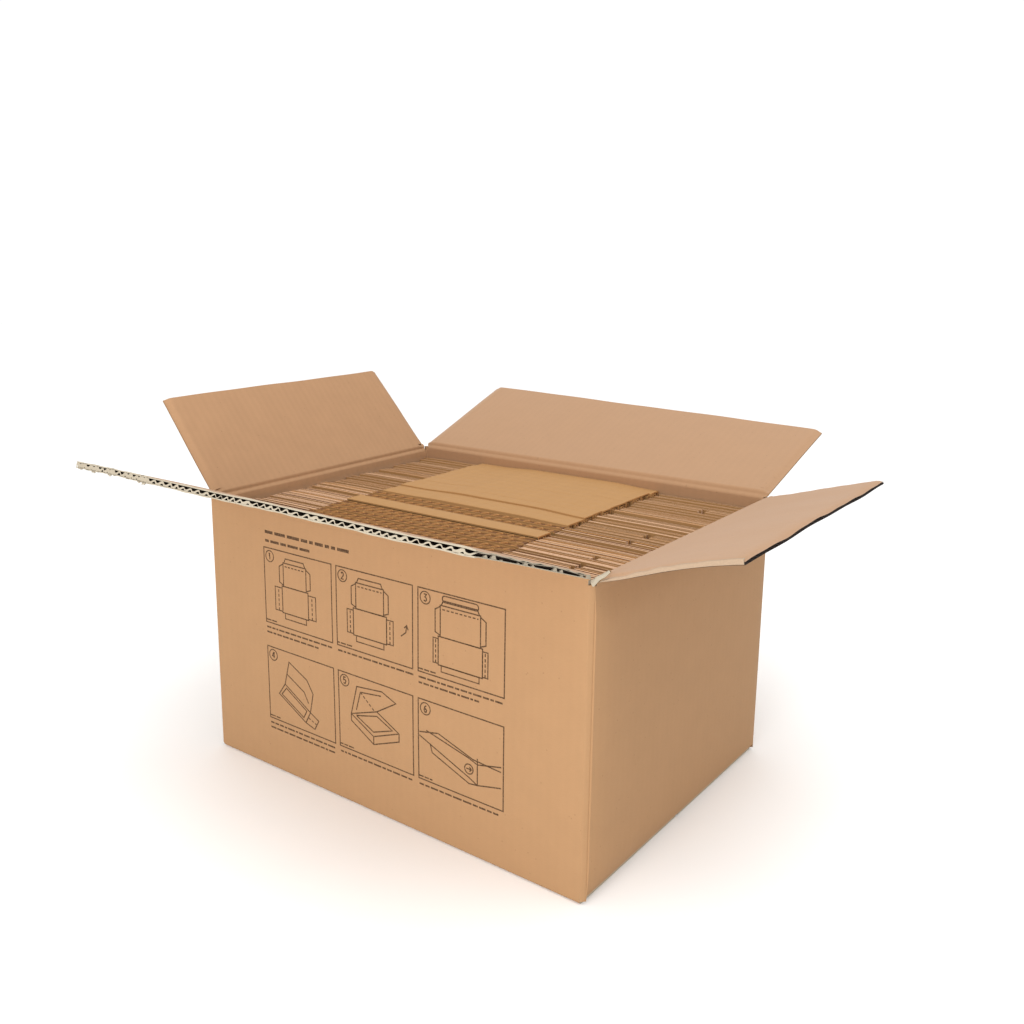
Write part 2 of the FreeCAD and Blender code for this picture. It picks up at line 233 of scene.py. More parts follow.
class CartonColours(bpy.types.PropertyGroup):
    """Colours of the board, the ink and the stage."""

    outer_liner: colour("Outer liner", "Outside of the carton", "#A47F5B")
    inner_liner: colour("Inner liner", "Inside of the carton and its flaps", "#AB8563")
    # near black: the medium, and the liners' faces toward it, are painted with the shade inside the flutes
    medium: colour("Medium", "Waved sheet inside the board", "#22160E")
    # a greyish pale edge: partly the cut fibres' own colour, partly painted highlight
    pale_edge: colour("Pale edge", "Freshly cut edge of the board", "#A69B88")
    # a darker edge colour: partly the board's own brown, partly painted shade
    brown_edge: colour("Brown edge", "Rubbed cut edge of the board", "#93704C")
    # paler and greyer than the inner liner
    rolled_paler: colour("Scuffed liner", "Liner that is rolled over a cut edge", "#A78F77")
    blank: colour("Blank", "Liner of the folded blanks", "#AE8455")
    blank_edge: colour("Blank edge", "Cut edge of the folded blanks", "#B5824E")
    # a lighter copy of the blank edge colour: painted light on the tops of the wings' edges
    wing_edge: colour("Wing edge", "Pressed cut edge of the blanks' wings", "#C9A180")
    # a dark copy of the blank edge colour: painted shade in the open flutes and in the gaps between streaks
    crushed: colour("Crushed flutes", "Glue and crushed flutes in the blanks' edges", "#6E4826")
    ink: colour("Ink", "Print on the front wall", "#3E2814")
    floor: colour("Floor", "Stage floor", "#FCFCFB")


class CartonStage(bpy.types.PropertyGroup):
    """The floor, the light and the camera."""

    floor_size: length("Floor size", "Side of the square floor", 12000)
    sky: FloatProperty(name="Sky", description="Strength of the white surround", default=1.04)
    key: FloatProperty(name="Key", description="Power of the low front light in watts", default=6.4)
    top: FloatProperty(name="Top", description="Power of the light overhead in watts", default=17)
    key_place: spot("Key place", "Where the low front light stands", (0.3, -1.15, 0.35))
    key_aim: spot("Key aim", "What the low front light faces", (0, -0.15, 0.12))
    key_size: length("Key size", "Side of the low front light", 600)
    top_place: spot("Top place", "Where the light overhead hangs", (0.65, -0.3, 2.3))
    top_aim: spot("Top aim", "What the light overhead faces", (0, 0, 0.24))
    top_size: length("Top size", "Side of the light overhead", 1500)
    eye: spot("Eye", "Where the camera stands", (0.5339, -0.7209, 0.4581))
    heading: angle("Heading", "Turn of the view from straight along Y, to the right", -38.43)
    pitch: angle("Pitch", "How far the view looks down", 12.02)
    lens: FloatProperty(name="Lens", description="Focal length in millimetres", default=36.15)
    shift: FloatVectorProperty(
        name="Shift", description="Shift of the lens", default=(0.0557, -0.0410), size=2,
    )


SETTINGS = {
    "carton_board": CartonBoard,
    "carton_walls": CartonWalls,
    "carton_creases": CartonCreases,
    "carton_flaps": CartonFlaps,
    "carton_blanks": CartonBlanks,
    "carton_print": CartonPrint,
    "carton_colours": CartonColours,
    "carton_stage": CartonStage,
}


# ------------------------------------------------------------------- meshes

def smooth(share):
    """Ease from 0 to 1, level at both ends."""
    share = np.clip(share, 0, 1)
    return share * share * (3 - 2 * share)


def ripple(place, first, second, shift=0.0):
    """An uneven wave from -1 to 1, made of two of unlike length, both in millimetres."""
    return np.sin(place / (first * MM)) * np.sin(place / (second * MM) + shift)


class Piece:
    """Gathers closed sheets into one mesh.

    Each point also keeps its place on the flat board, in metres: along the
    crease, up from it, and in from the outer liner. Materials lay their
    pattern on that, so it runs on through folds.
    """

    def __init__(self):
        self.points, self.flat, self.faces, self.finish = [], [], [], []
        self.count = 0

    def add_quads(self, a, b, c, d, finish):
        quads = np.stack([a, b, c, d], axis=-1).reshape(-1, 4)
        self.faces.append(quads)
        self.finish.append(np.full(len(quads), finish))

    def add_strip(self, first, second, finish):
        self.add_quads(first[:-1], first[1:], second[1:], second[:-1], finish)

    def add_sheet(self, near, far, flat, finishes, ring=False):
        """A closed sheet between two grids of points.

        The finishes are those of the near face, the far face, the cut edges of
        the first and last row, and the cut edges of the first and last column.
        """
        rows, columns = near.shape[:2]
        ids = self.count + np.arange(rows * columns).reshape(rows, columns)
        self.count += 2 * rows * columns
        self.points += [near.reshape(-1, 3), far.reshape(-1, 3)]
        self.flat += [flat.reshape(-1, 3)] * 2
        other = ids + rows * columns
        if ring:
            ids = np.hstack([ids, ids[:, :1]])
            other = np.hstack([other, other[:, :1]])
        self.add_quads(ids[:-1, :-1], ids[:-1, 1:], ids[1:, 1:], ids[1:, :-1], finishes[0])
        self.add_quads(other[:-1, :-1], other[1:, :-1], other[1:, 1:], other[:-1, 1:], finishes[1])
        self.add_strip(other[0], ids[0], finishes[2])
        self.add_strip(ids[-1], other[-1], finishes[2])
        if not ring:
            self.add_strip(ids[:, 0], other[:, 0], finishes[3])
            self.add_strip(other[:, -1], ids[:, -1], finishes[3])

    def build(self, name, materials):
        """Make the gathered sheets into one object."""
        mesh = bpy.data.meshes.new(name)
        points, faces = np.concatenate(self.points), np.concatenate(self.faces)
        mesh.from_pydata(points.tolist(), [], faces.tolist())
        flat = mesh.attributes.new("flat", "FLOAT_VECTOR", "POINT")
        flat.data.foreach_set("vector", np.concatenate(self.flat).astype(np.float32).ravel())
        for material in materials:
            mesh.materials.append(material)
        mesh.polygons.foreach_set("material_index", np.concatenate(self.finish).astype(np.int32))
        edit = bmesh.new()
        edit.from_mesh(mesh)
        bmesh.ops.recalc_face_normals(edit, faces=edit.faces)
        edit.to_mesh(mesh)
        edit.free()
        mesh.shade_smooth()
        mesh.set_sharp_from_angle(angle=SHARP_EDGE)
        piece = bpy.data.objects.new(name, mesh)
        bpy.context.scene.collection.objects.link(piece)
        return piece


def flat_grid(s, u, v=0.0):
    """Places on the flat board for columns s and rows u."""
    s, u = np.broadcast_arrays(s, u)
    return np.stack([s, u, np.full(s.shape, v)], axis=-1)


def columns_between(low, high, step):
    """Even columns with a few more beside each end, where the board is squeezed."""
    gaps = (0.4 * MM, 1.2 * MM, 2.5 * MM, 4.5 * MM)
    even = np.linspace(low, high, max(2, int(round((high - low) / step)) + 1))
    near_ends = [low + gap for gap in gaps] + [high - gap for gap in gaps]
    inner = [x for x in even if low + gaps[-1] < x < high - gaps[-1]]
    return np.array(sorted([low, high] + near_ends + inner))


# ---------------------------------------------------------------- materials

def add_node(tree, kind, inputs=None, **settings):
    """Add a node, set its properties, and set or link its inputs."""
    node = tree.nodes.new(kind)
    for name, setting in settings.items():
        setattr(node, name, setting)
    for key, source in (inputs or {}).items():
        if isinstance(source, bpy.types.NodeSocket):
            tree.links.new(source, node.inputs[key])
        else:
            node.inputs[key].default_value = source
    return node


def new_material(name, roughness, specular):
    material = bpy.data.materials.new(name)
    material.use_nodes = True
    shader = material.node_tree.nodes["Principled BSDF"]
    shader.inputs["Roughness"].default_value = roughness
    shader.inputs["Specular IOR Level"].default_value = specular
    return material, material.node_tree, shader


def kraft_liner(name, base, flute_pitch, wash=0.006, cloud=0.05, sheen=0.0):
    """Kraft linerboard: unbleached pulp off a paper machine, pressed and left uncoated.

    It is matt and brown, with pulp clouds a finger wide, short fibres that lie
    across the flutes, a few dark specks, and the faint rows of the flutes that
    are glued under it.
    """
    material, tree, shader = new_material(name, roughness=0.7, specular=0.15)
    shader.inputs["Sheen Weight"].default_value = sheen
    shader.inputs["Sheen Roughness"].default_value = 0.5
    board = add_node(tree, "ShaderNodeAttribute", attribute_name="flat").outputs["Vector"]
    clouds = add_node(
        tree, "ShaderNodeTexNoise",
        {"Vector": board, "Scale": 1 / (22 * MM), "Detail": 4, "Roughness": 0.6},
    ).outputs["Fac"]
    # fibres are 3 mm by 0.1 mm; they are drawn 0.6 mm wide, so that they show
    lengthways = add_node(
        tree, "ShaderNodeVectorMath",
        {0: board, 1: (1 / (5 * MM), 1 / (0.6 * MM), 1 / (2 * MM))}, operation="MULTIPLY",
    ).outputs["Vector"]
    fibres = add_node(
        tree, "ShaderNodeTexNoise",
        {"Vector": lengthways, "Scale": 1.0, "Detail": 3, "Roughness": 0.7},
    ).outputs["Fac"]
    apart = add_node(tree, "ShaderNodeSeparateXYZ", {"Vector": board})
    even_turns = add_node(
        tree, "ShaderNodeMath", {0: apart.outputs["X"], 1: 2 * math.pi / flute_pitch},
        operation="MULTIPLY",
    ).outputs["Value"]
    # the rows wander by up to a quarter of a flute
    turns = add_node(
        tree, "ShaderNodeMath", {0: clouds, 1: math.pi, 2: even_turns}, operation="MULTIPLY_ADD",
    ).outputs["Value"]
    rows = add_node(tree, "ShaderNodeMath", {0: turns}, operation="SINE").outputs["Value"]
    specks = add_node(
        tree, "ShaderNodeTexVoronoi", {"Vector": board, "Scale": 1 / (9 * MM)},
    ).outputs["Distance"]
    speck_shade = add_node(
        tree, "ShaderNodeMapRange",
        {"Value": specks, "From Min": 0.03, "From Max": 0.09, "To Min": 0.8, "To Max": 1.0},
    ).outputs["Result"]
    # brightness is one plus a share of each pattern
    with_clouds = add_node(
        tree, "ShaderNodeMath", {0: clouds, 1: 2 * cloud, 2: 1 - cloud}, operation="MULTIPLY_ADD",
    ).outputs["Value"]
    with_fibres = add_node(
        tree, "ShaderNodeMath", {0: fibres, 1: 0.12, 2: with_clouds}, operation="MULTIPLY_ADD",
    ).outputs["Value"]
    with_rows = add_node(
        tree, "ShaderNodeMath", {0: rows, 1: wash, 2: with_fibres}, operation="MULTIPLY_ADD",
    ).outputs["Value"]
    levelled = add_node(
        tree, "ShaderNodeMath", {0: with_rows, 1: 0.06}, operation="SUBTRACT",
    ).outputs["Value"]
    brightness = add_node(
        tree, "ShaderNodeMath", {0: levelled, 1: speck_shade}, operation="MULTIPLY",
    ).outputs["Value"]
    tinted = add_node(
        tree, "ShaderNodeHueSaturation", {"Color": (*base, 1), "Value": brightness},
    ).outputs["Color"]
    tree.links.new(tinted, shader.inputs["Base Color"])
    relief = add_node(
        tree, "ShaderNodeMath", {0: rows, 1: 10 * wash, 2: fibres}, operation="MULTIPLY_ADD",
    ).outputs["Value"]
    bump = add_node(
        tree, "ShaderNodeBump", {"Height": relief, "Strength": 0.35, "Distance": 0.12 * MM},
    ).outputs["Normal"]
    tree.links.new(bump, shader.inputs["Normal"])
    return material


def fibrous_board(name, base, grain, contrast):
    """Raw board where no liner covers it: a cut edge or the waved medium.

    Torn fibres make it rough and matt, in fine light and dark grains.
    """
    material, tree, shader = new_material(name, roughness=0.85, specular=0.25)
    board = add_node(tree, "ShaderNodeAttribute", attribute_name="flat").outputs["Vector"]
    grains = add_node(
        tree, "ShaderNodeTexNoise", {"Vector": board, "Scale": 1 / grain, "Detail": 4},
    ).outputs["Fac"]
    brightness = add_node(
        tree, "ShaderNodeMath", {0: grains, 1: 2 * contrast, 2: 1 - contrast},
        operation="MULTIPLY_ADD",
    ).outputs["Value"]
    tinted = add_node(
        tree, "ShaderNodeHueSaturation", {"Color": (*base, 1), "Value": brightness},
    ).outputs["Color"]
    tree.links.new(tinted, shader.inputs["Base Color"])
    bump = add_node(
        tree, "ShaderNodeBump", {"Height": grains, "Strength": 0.4, "Distance": 0.1 * MM},
    ).outputs["Normal"]
    tree.links.new(bump, shader.inputs["Normal"])
    return material


def flexo_ink(name, base, board):
    """Water-based ink put down by a rubber plate.

    It is thin and matt, and starved over the liner's fibres.
    """
    material, tree, shader = new_material(name, roughness=0.8, specular=0.3)
    place = add_node(tree, "ShaderNodeAttribute", attribute_name="flat").outputs["Vector"]
    starved = add_node(
        tree, "ShaderNodeTexNoise", {"Vector": place, "Scale": 1 / (1.5 * MM), "Detail": 3},
    ).outputs["Fac"]
    cover = add_node(
        tree, "ShaderNodeMapRange",
        {"Value": starved, "From Min": 0.4, "From Max": 0.75, "To Min": 0.0, "To Max": 0.4},
    ).outputs["Result"]
    mixed = add_node(
        tree, "ShaderNodeMix",
        {"Factor": cover, 6: (*base, 1), 7: (*board, 1)}, data_type="RGBA",
    ).outputs[2]
    tree.links.new(mixed, shader.inputs["Base Color"])
    return material


def floor_paper(name, base):
    """Matt white studio paper with a barely seen mottle."""
    material, tree, shader = new_material(name, roughness=0.95, specular=0.1)
    place = add_node(tree, "ShaderNodeTexCoord").outputs["Object"]
    mottle = add_node(
        tree, "ShaderNodeTexNoise", {"Vector": place, "Scale": 1 / (60 * MM), "Detail": 3},
    ).outputs["Fac"]
    brightness = add_node(
        tree, "ShaderNodeMath", {0: mottle, 1: 0.02, 2: 0.99}, operation="MULTIPLY_ADD",
    ).outputs["Value"]
    tinted = add_node(
        tree, "ShaderNodeHueSaturation", {"Color": (*base, 1), "Value": brightness},
    ).outputs["Color"]
    tree.links.new(tinted, shader.inputs["Base Color"])
    return material


def carton_materials(scene, side=None):
    """The carton's outer liner, inner liner, pale edge partly painted highlight, medium painted near black
    as shade, brown edge partly painted shade, and paler rolled liner.
    """
    colours = scene.carton_colours
    pitch = scene.carton_board.flute_pitch
    if bpy.data.materials.get("kraft_liner_outside") is None:
        inner = colours.inner_liner
        kraft_liner("kraft_liner_outside", colours.outer_liner, pitch)
        kraft_liner("kraft_liner_inside", inner, pitch, wash=0.008, cloud=0.04, sheen=0.15)
        kraft_liner("kraft_liner_washboard", inner, pitch, wash=0.016, cloud=0.07)
        # the cut edge comes in copies for the light on it: pale, partly painted highlight; near black
        # medium, painted shade; brown, partly painted shade
        fibrous_board("board_edge_fresh", colours.pale_edge, 0.8 * MM, 0.12)
        fibrous_board("fluting_medium", colours.medium, 1.5 * MM, 0.15)
        fibrous_board("board_edge_rubbed", colours.brown_edge, 0.8 * MM, 0.2)
        fibrous_board("kraft_liner_scuffed", colours.rolled_paler, 1.2 * MM, 0.15)
    # the flutes show through the liner of the left flap
    inside = "kraft_liner_washboard" if side == "left" else "kraft_liner_inside"
    names = (
        "kraft_liner_outside", inside, "board_edge_fresh", "fluting_medium", "board_edge_rubbed",
        "kraft_liner_scuffed",
    )
    return [bpy.data.materials[name] for name in names]


# the pale edge is partly painted highlight, the medium is painted near black as shade, and the rubbed edge
# is partly painted shade
OUTSIDE, INSIDE, PALE_AND_HIGHLIT, MEDIUM_PAINTED_SHADE, RUBBED_AND_SHADED, ROLLED_PALER = range(6)


# -------------------------------------------------------------------- walls

def side_axes(side):
    """Directions along a wall and out of it, seen from above going round to the left."""
    turn = SIDES.index(side) * math.pi / 2
    along = np.array([math.cos(turn), math.sin(turn), 0.0]).round()
    return along, np.cross(along, UP)


def side_half(side):
    """Half the length of a wall, and how far its face is from the middle."""
    along, out = side_axes(side)
    return CARTON_TOP @ np.abs(along), CARTON_TOP @ np.abs(out)


# the uneven bulge of a wall, in radians a metre along it and up it
WALL_WAVES = (19, 23)
# height over which the right wall comes out above the floor
FOOT_EASE = 25 * MM
# grid of the walls: the step along a flat wall, and the rows from its foot to its crease
WALL_STEP = 5 * MM
WALL_ROWS = 31
# height at which the upright folds start
FOLD_FOOT = 3 * MM


def swell(walls, side, along, height):
    """How far a wall stands out from its flat place."""
    half = side_half(side)[0]
    up = np.clip(height / CARTON_TOP[2], 0, 1)
    across = np.clip(1 - (along / half) ** 2, 0, 1)
    phase = SIDES.index(side)
    uneven = np.sin(WALL_WAVES[0] * along + phase) * np.sin(WALL_WAVES[1] * height + 2 * phase)
    out = walls.bulge * across * 4 * up * (1 - up) * (1 + 0.5 * uneven)
    if side == "right":
        depth = CREASE_HEIGHT["right_flap"] - height
        out = out + smooth(height / FOOT_EASE) * stand_out(walls, along, depth)
    return out


def stand_out(walls, along, depth):
    """How far the right wall stands out beside the near fold, at a depth below its crease."""
    half = side_half("right")[0]
    share = np.clip((along + half) / (2 * half), 0, 1)
    rise = (1 - np.exp(-share * 2 * half / walls.near_ease)) * (1 - share)
    return walls.near_bulge * rise * smooth(depth / walls.near_taper)


class Station:
    """One upright line round the tube of the carton.

    The parts are the walls that it belongs to, with its place along each and
    its share of each.
    """

    def __init__(self, place, normal, parts, top, foot):
        self.place, self.normal, self.parts, self.top, self.foot = place, normal, parts, top, foot


def fold_profile(width):
    """The bends of an upright fold: quick, then a nearly flat band, then quick again.

    Gives the way along the first wall, the way back from its face, and the turn.
    """
    quick_width, quick_turn = 0.2, 0.4
    run = np.linspace(0, 1, 33)
    quick = smooth(run / quick_width) + smooth((run + quick_width - 1) / quick_width)
    turn = QUARTER_TURN * (quick_turn * quick + (1 - 2 * quick_turn) * run)
    middle = (turn[1:] + turn[:-1]) / 2
    ahead = np.concatenate([[0], np.cumsum(np.cos(middle))])
    back = np.concatenate([[0], np.cumsum(np.sin(middle))])
    return width * ahead / ahead[-1], width * back / back[-1], turn


def tube_stations(walls, creases, tops):
    """Upright lines round the tube: each flat wall, then the fold to the next one."""
    width = walls.fold_width
    stations = []
    for i, side in enumerate(SIDES):
        following = SIDES[(i + 1) % 4]
        along, out = side_axes(side)
        next_out = side_axes(following)[1]
        half, reach = side_half(side)
        next_half = side_half(following)[0]
        top = tops[side] - creases.reach
        for t in np.linspace(width - half, half - width, int(half / WALL_STEP)):
            place = out * reach + along * t
            stations.append(Station(place, out, [(side, t, 1.0)], top, walls.foot_height))
        for ahead, back, turn in list(zip(*fold_profile(width)))[1:-1]:
            lean = turn / QUARTER_TURN
            place = out * (reach - back) + along * (half - width + ahead)
            normal = out * math.cos(turn) + next_out * math.sin(turn)
            parts = [(side, half, 1 - lean), (following, -next_half, lean)]
            gap = creases.near_gap if side == "front" else creases.fold_gap
            slot = max(tops[side], tops[following]) - gap
            stations.append(Station(place, normal, parts, slot, FOLD_FOOT))
    return stations


def add_tube(piece, walls, creases, tops, board):
    """The four walls and their folds, as one sheet that closes on itself."""
    stations = tube_stations(walls, creases, tops)
    rows = np.linspace(0, 1, WALL_ROWS)[:, None]
    low = np.array([s.foot for s in stations])
    high = np.array([s.top for s in stations])
    height = low + rows * (high - low)
    outer = np.empty((*height.shape, 3))
    inner = np.empty_like(outer)
    for column, station in enumerate(stations):
        z = height[:, column]
        shove = sum(
            share * swell(walls, side, t, z)[:, None] * side_axes(side)[1]
            for side, t, share in station.parts
        )
        outer[:, column] = station.place + z[:, None] * UP + shove
        inner[:, column] = outer[:, column] - board * station.normal
    steps = np.linalg.norm(np.diff(outer[0], axis=0), axis=1)
    around = np.concatenate([[0], np.cumsum(steps)])
    around -= side_half("front")[0] - walls.fold_width
    # the tube's cut edges take the brown edge colour, partly painted shade
    finishes = (OUTSIDE, INSIDE, RUBBED_AND_SHADED, RUBBED_AND_SHADED)
    piece.add_sheet(outer, inner, flat_grid(around[None, :], height), finishes, ring=True)


def add_bottom_flap(piece, walls, side, board, half_width, drop, end):
    """A wall's foot, its fold, and the flap that it turns into under the pack."""
    along, out = side_axes(side)
    reach = side_half(side)[1]
    radius = walls.foot_radius
    bend = np.radians(np.linspace(0, 90, 7))
    outer = [(reach, walls.foot_height)]
    outer += [(reach - radius * (1 - math.cos(a)), drop + radius * (1 - math.sin(a))) for a in bend]
    inner = [(reach - board, walls.foot_height)] + [(reach - board, drop + board)] * len(bend)
    # the inside of the fold is a short chamfer, so that no two of its points meet
    chamfer = 0.6 * MM
    for i, step in enumerate(np.linspace(chamfer, -chamfer, len(bend)), start=1):
        inner[i] = (reach - board + min(step, 0), drop + board + max(step, 0))
    past_fold = 2 * MM
    run = np.linspace(reach - radius - past_fold, end, 24)
    outer += [(y, drop) for y in run]
    inner += [(y, drop + board) for y in run]
    s = columns_between(-half_width, half_width, 8 * MM)
    u = -np.linspace(0, reach - end + walls.foot_height, len(outer))
    grids = []
    for profile in (outer, inner):
        line = np.array([y * out + z * UP for y, z in profile])
        grids.append(line[:, None, :] + s[None, :, None] * along)
    # its cut edges take the pale edge colour, which is partly painted highlight
    piece.add_sheet(*grids, flat_grid(s[None, :], u[:, None]), (OUTSIDE, INSIDE, PALE_AND_HIGHLIT, PALE_AND_HIGHLIT))


def add_glue_tab(piece, walls, board, top):
    """The tab that is folded off the right wall and glued inside the front wall."""
    half, reach = side_half("front")
    x = np.linspace(half - board - walls.tab_width, half - board, 9)
    share = np.linspace(0, 1, 12)[:, None]
    inset = walls.tab_taper * (1 - (x - x[0]) / walls.tab_width)
    low = 2 * board + inset
    high = top - inset
    z = low + share * (high - low)
    x = np.broadcast_to(x, z.shape)
    grids = []
    for depth in (board, 2 * board):
        y = np.full(z.shape, depth - reach)
        y = y - swell(walls, "front", x, z)
        grids.append(np.stack([x, y, z], axis=-1))
    # its cut edges take the pale edge colour, which is partly painted highlight
    piece.add_sheet(*grids, flat_grid(x, z), (OUTSIDE, INSIDE, PALE_AND_HIGHLIT, PALE_AND_HIGHLIT))


class CARTON_OT_walls(bpy.types.Operator):
    """Build the four walls, their folds, the glue tab and the glued bottom flaps"""

    bl_idname = "carton.walls"
    bl_label = "Walls and bottom"

    def execute(self, context):
        scene = context.scene
        walls, creases = scene.carton_walls, scene.carton_creases
        board = scene.carton_board.thickness
        tops = {side: Crease(side, scene).origin[2] for side in SIDES}
        piece = Piece()
        add_tube(piece, walls, creases, tops, board)
        for side in ("front", "back"):
            wide = side_half(side)[0] - walls.fold_width
            add_bottom_flap(piece, walls, side, board, wide, 0.0, walls.seam_gap / 2)
        for side in ("left", "right"):
            half, reach = side_half(side)
            wide = half - walls.fold_width
            add_bottom_flap(piece, walls, side, board, wide, board, reach - walls.inner_flap)
        add_glue_tab(piece, walls, board, min(tops.values()) - creases.reach)
        shell = piece.build("carton_walls", carton_materials(scene))
        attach(shell, "carton")
        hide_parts("carton")
        return {"FINISHED"}


# -------------------------------------------------------- creases and flaps

class Crease:
    """A top crease and its flap: where they are, and how the sheet runs through them."""

    def __init__(self, side, scene):
        board, creases, flaps = scene.carton_board, scene.carton_creases, scene.carton_flaps
        joint = next(j for j in frame["joints"] if j["child"] == f"{side}_flap")
        self.side, self.body, self.cut = side, joint["child"], flap_cut(side)
        self.origin = np.array(joint["pos_m"], float)
        self.along = np.array(joint["axis"], float)
        self.out = np.cross(self.along, UP)
        self.board, self.creases, self.flaps = board, creases, flaps
        self.walls = scene.carton_walls
        self.lean = math.radians(FOLDED_BACK - joint["range_deg"][1])
        low, high = (np.array(corner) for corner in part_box(f"flap_{side}"))
        self.half_width = (high - low) @ np.abs(self.along) / 2
        self.lift = flaps.root_lift if side in ("left", "right") else 0.0
        rise = high[2] - self.origin[2] - board.thickness * math.sin(self.lean)
        self.length = rise / math.cos(self.lean) - flaps.cut_short
        # how far each end of the flap leans from the middle value
        self.ends = {
            "front": (0.0, 0.0),
            "right": (-flaps.right_twist / 2, flaps.right_twist),
            "back": (0.0, -flaps.back_twist),
            "left": (0.0, 0.0),
        }[side]

    def across(self, s):
        """Share of the way across the flap, from 0 to 1."""
        return (s + self.half_width) / (2 * self.half_width)

    def turn_at(self, s, u):
        """Angle of the sheet from upright."""
        across = self.across(s)
        lean = self.lean + self.ends[0] * (1 - across) + self.ends[1] * across
        bent = smooth((u - self.lift + self.creases.turn) / (2 * self.creases.turn))
        past = np.clip((u - self.creases.reach) / (self.length - self.creases.reach), 0, 1)
        curl = self.flaps.curl
        if self.side == "right":
            curl = curl + self.flaps.right_curl * (1 - across)
        # a little more lean at first takes back what the high bend has lifted
        settle = self.flaps.root_settle
        back = 2 * self.lift * math.sin(self.lean) / settle * np.clip(1 - u / settle, 0, 1)
        # the bend is eased in from the end of the crease strip, and keeps the flap's tip in place
        return (lean + back) * bent + curl * (past - 0.5) * smooth(3 * past)

    def place(self, s, u, v):
        """Points of the sheet: s along the crease, u up the sheet, v in from the outer liner."""
        s, u, v = np.broadcast_arrays(s, u, v)
        column = s[:1]
        reach = self.creases.reach
        fine = np.linspace(-reach, self.length, BEND_STEPS)
        turn = self.turn_at(column, fine[:, None])
        step = fine[1] - fine[0]
        out = np.zeros_like(turn)
        climb = np.full_like(turn, -reach)
        out[1:] = np.cumsum((np.sin(turn[1:]) + np.sin(turn[:-1])) / 2 * step, axis=0)
        climb[1:] += np.cumsum((np.cos(turn[1:]) + np.cos(turn[:-1])) / 2 * step, axis=0)
        many = range(s.shape[1])
        out = np.stack([np.interp(u[:, i], fine, out[:, i]) for i in many], axis=1)
        climb = np.stack([np.interp(u[:, i], fine, climb[:, i]) for i in many], axis=1)
        turn = self.turn_at(column, u)
        if self.side == "right":
            out = out + stand_out(self.walls, column, -u)
        v = v + self.wave(column, u)
        out = out - v * np.cos(turn)
        climb = climb + v * np.sin(turn)
        sideways, outwards, upwards = (way[..., None] for way in (s, out, climb))
        return self.origin + sideways * self.along + outwards * self.out + upwards * UP

    def wave(self, s, u):
        """Long low waves of the flap, none at its crease.

        Those of a long flap only go outwards, so that it lies on the short ones when it is shut.
        """
        free_from, own_phase = 60 * MM, 2.1
        free = smooth((u - self.creases.reach) / free_from)
        phase = own_phase * SIDES.index(self.side)
        waves = 0.6 * np.sin(s / (29 * MM) + phase) + 0.4 * np.sin(s / (13 * MM) + 2 * phase)
        return self.flaps.wobble * free * (waves if self.lift else (waves - 1) / 2)

    def thickness(self, s, u):
        """Board thickness: crushed in the crease, and pinched along the side edges.

        Each side edge has a pinch at its root and one at its tip.
        """
        creases, ragged = self.creases, self.cut.ragged
        crushed = creases.crush_depth * np.exp(-((u - self.lift) / creases.crush_width) ** 2)
        thick = self.board.thickness - crushed + 0 * s
        free = smooth((u + creases.reach) / (2 * creases.reach))
        share = np.clip(u / self.length, 0, 1)
        from_edges = (s + self.half_width, self.half_width - s)
        for (root, tip), edge in zip(self.cut.pinches, from_edges):
            pinch = root + (tip - root) * share
            uneven = 1 - ragged * (1 - ripple(u, 4.5, 7.3, 1))
            squeezed = np.exp(-(edge / self.flaps.pinch_width) ** 2)
            thick = thick - pinch * free * uneven * squeezed
        return thick


def add_crease_strip(piece, crease, flat_half):
    """The strip: as wide as the flat wall below the axis, and as wide as the flap above it."""
    creases = crease.creases
    s = columns_between(-flat_half, flat_half, 5 * MM)[None, :]
    u = np.linspace(-creases.reach, creases.reach, 41)[:, None]
    thick = crease.thickness(s, u)
    wider = crease.half_width + crease.flaps.root_flare - flat_half
    widen = wider * smooth(u / creases.fold_gap + 1)
    at_end = smooth((abs(s) - flat_half) / EDGE_REACH + 1)
    spread = s + np.sign(s) * widen * at_end
    near = crease.place(spread, u, np.zeros_like(thick))
    far = crease.place(spread, u, thick)
    flat = flat_grid(s, u + crease.origin[2])
    piece.add_sheet(near, far, flat, (OUTSIDE, INSIDE, INSIDE, crease.cut.finish))


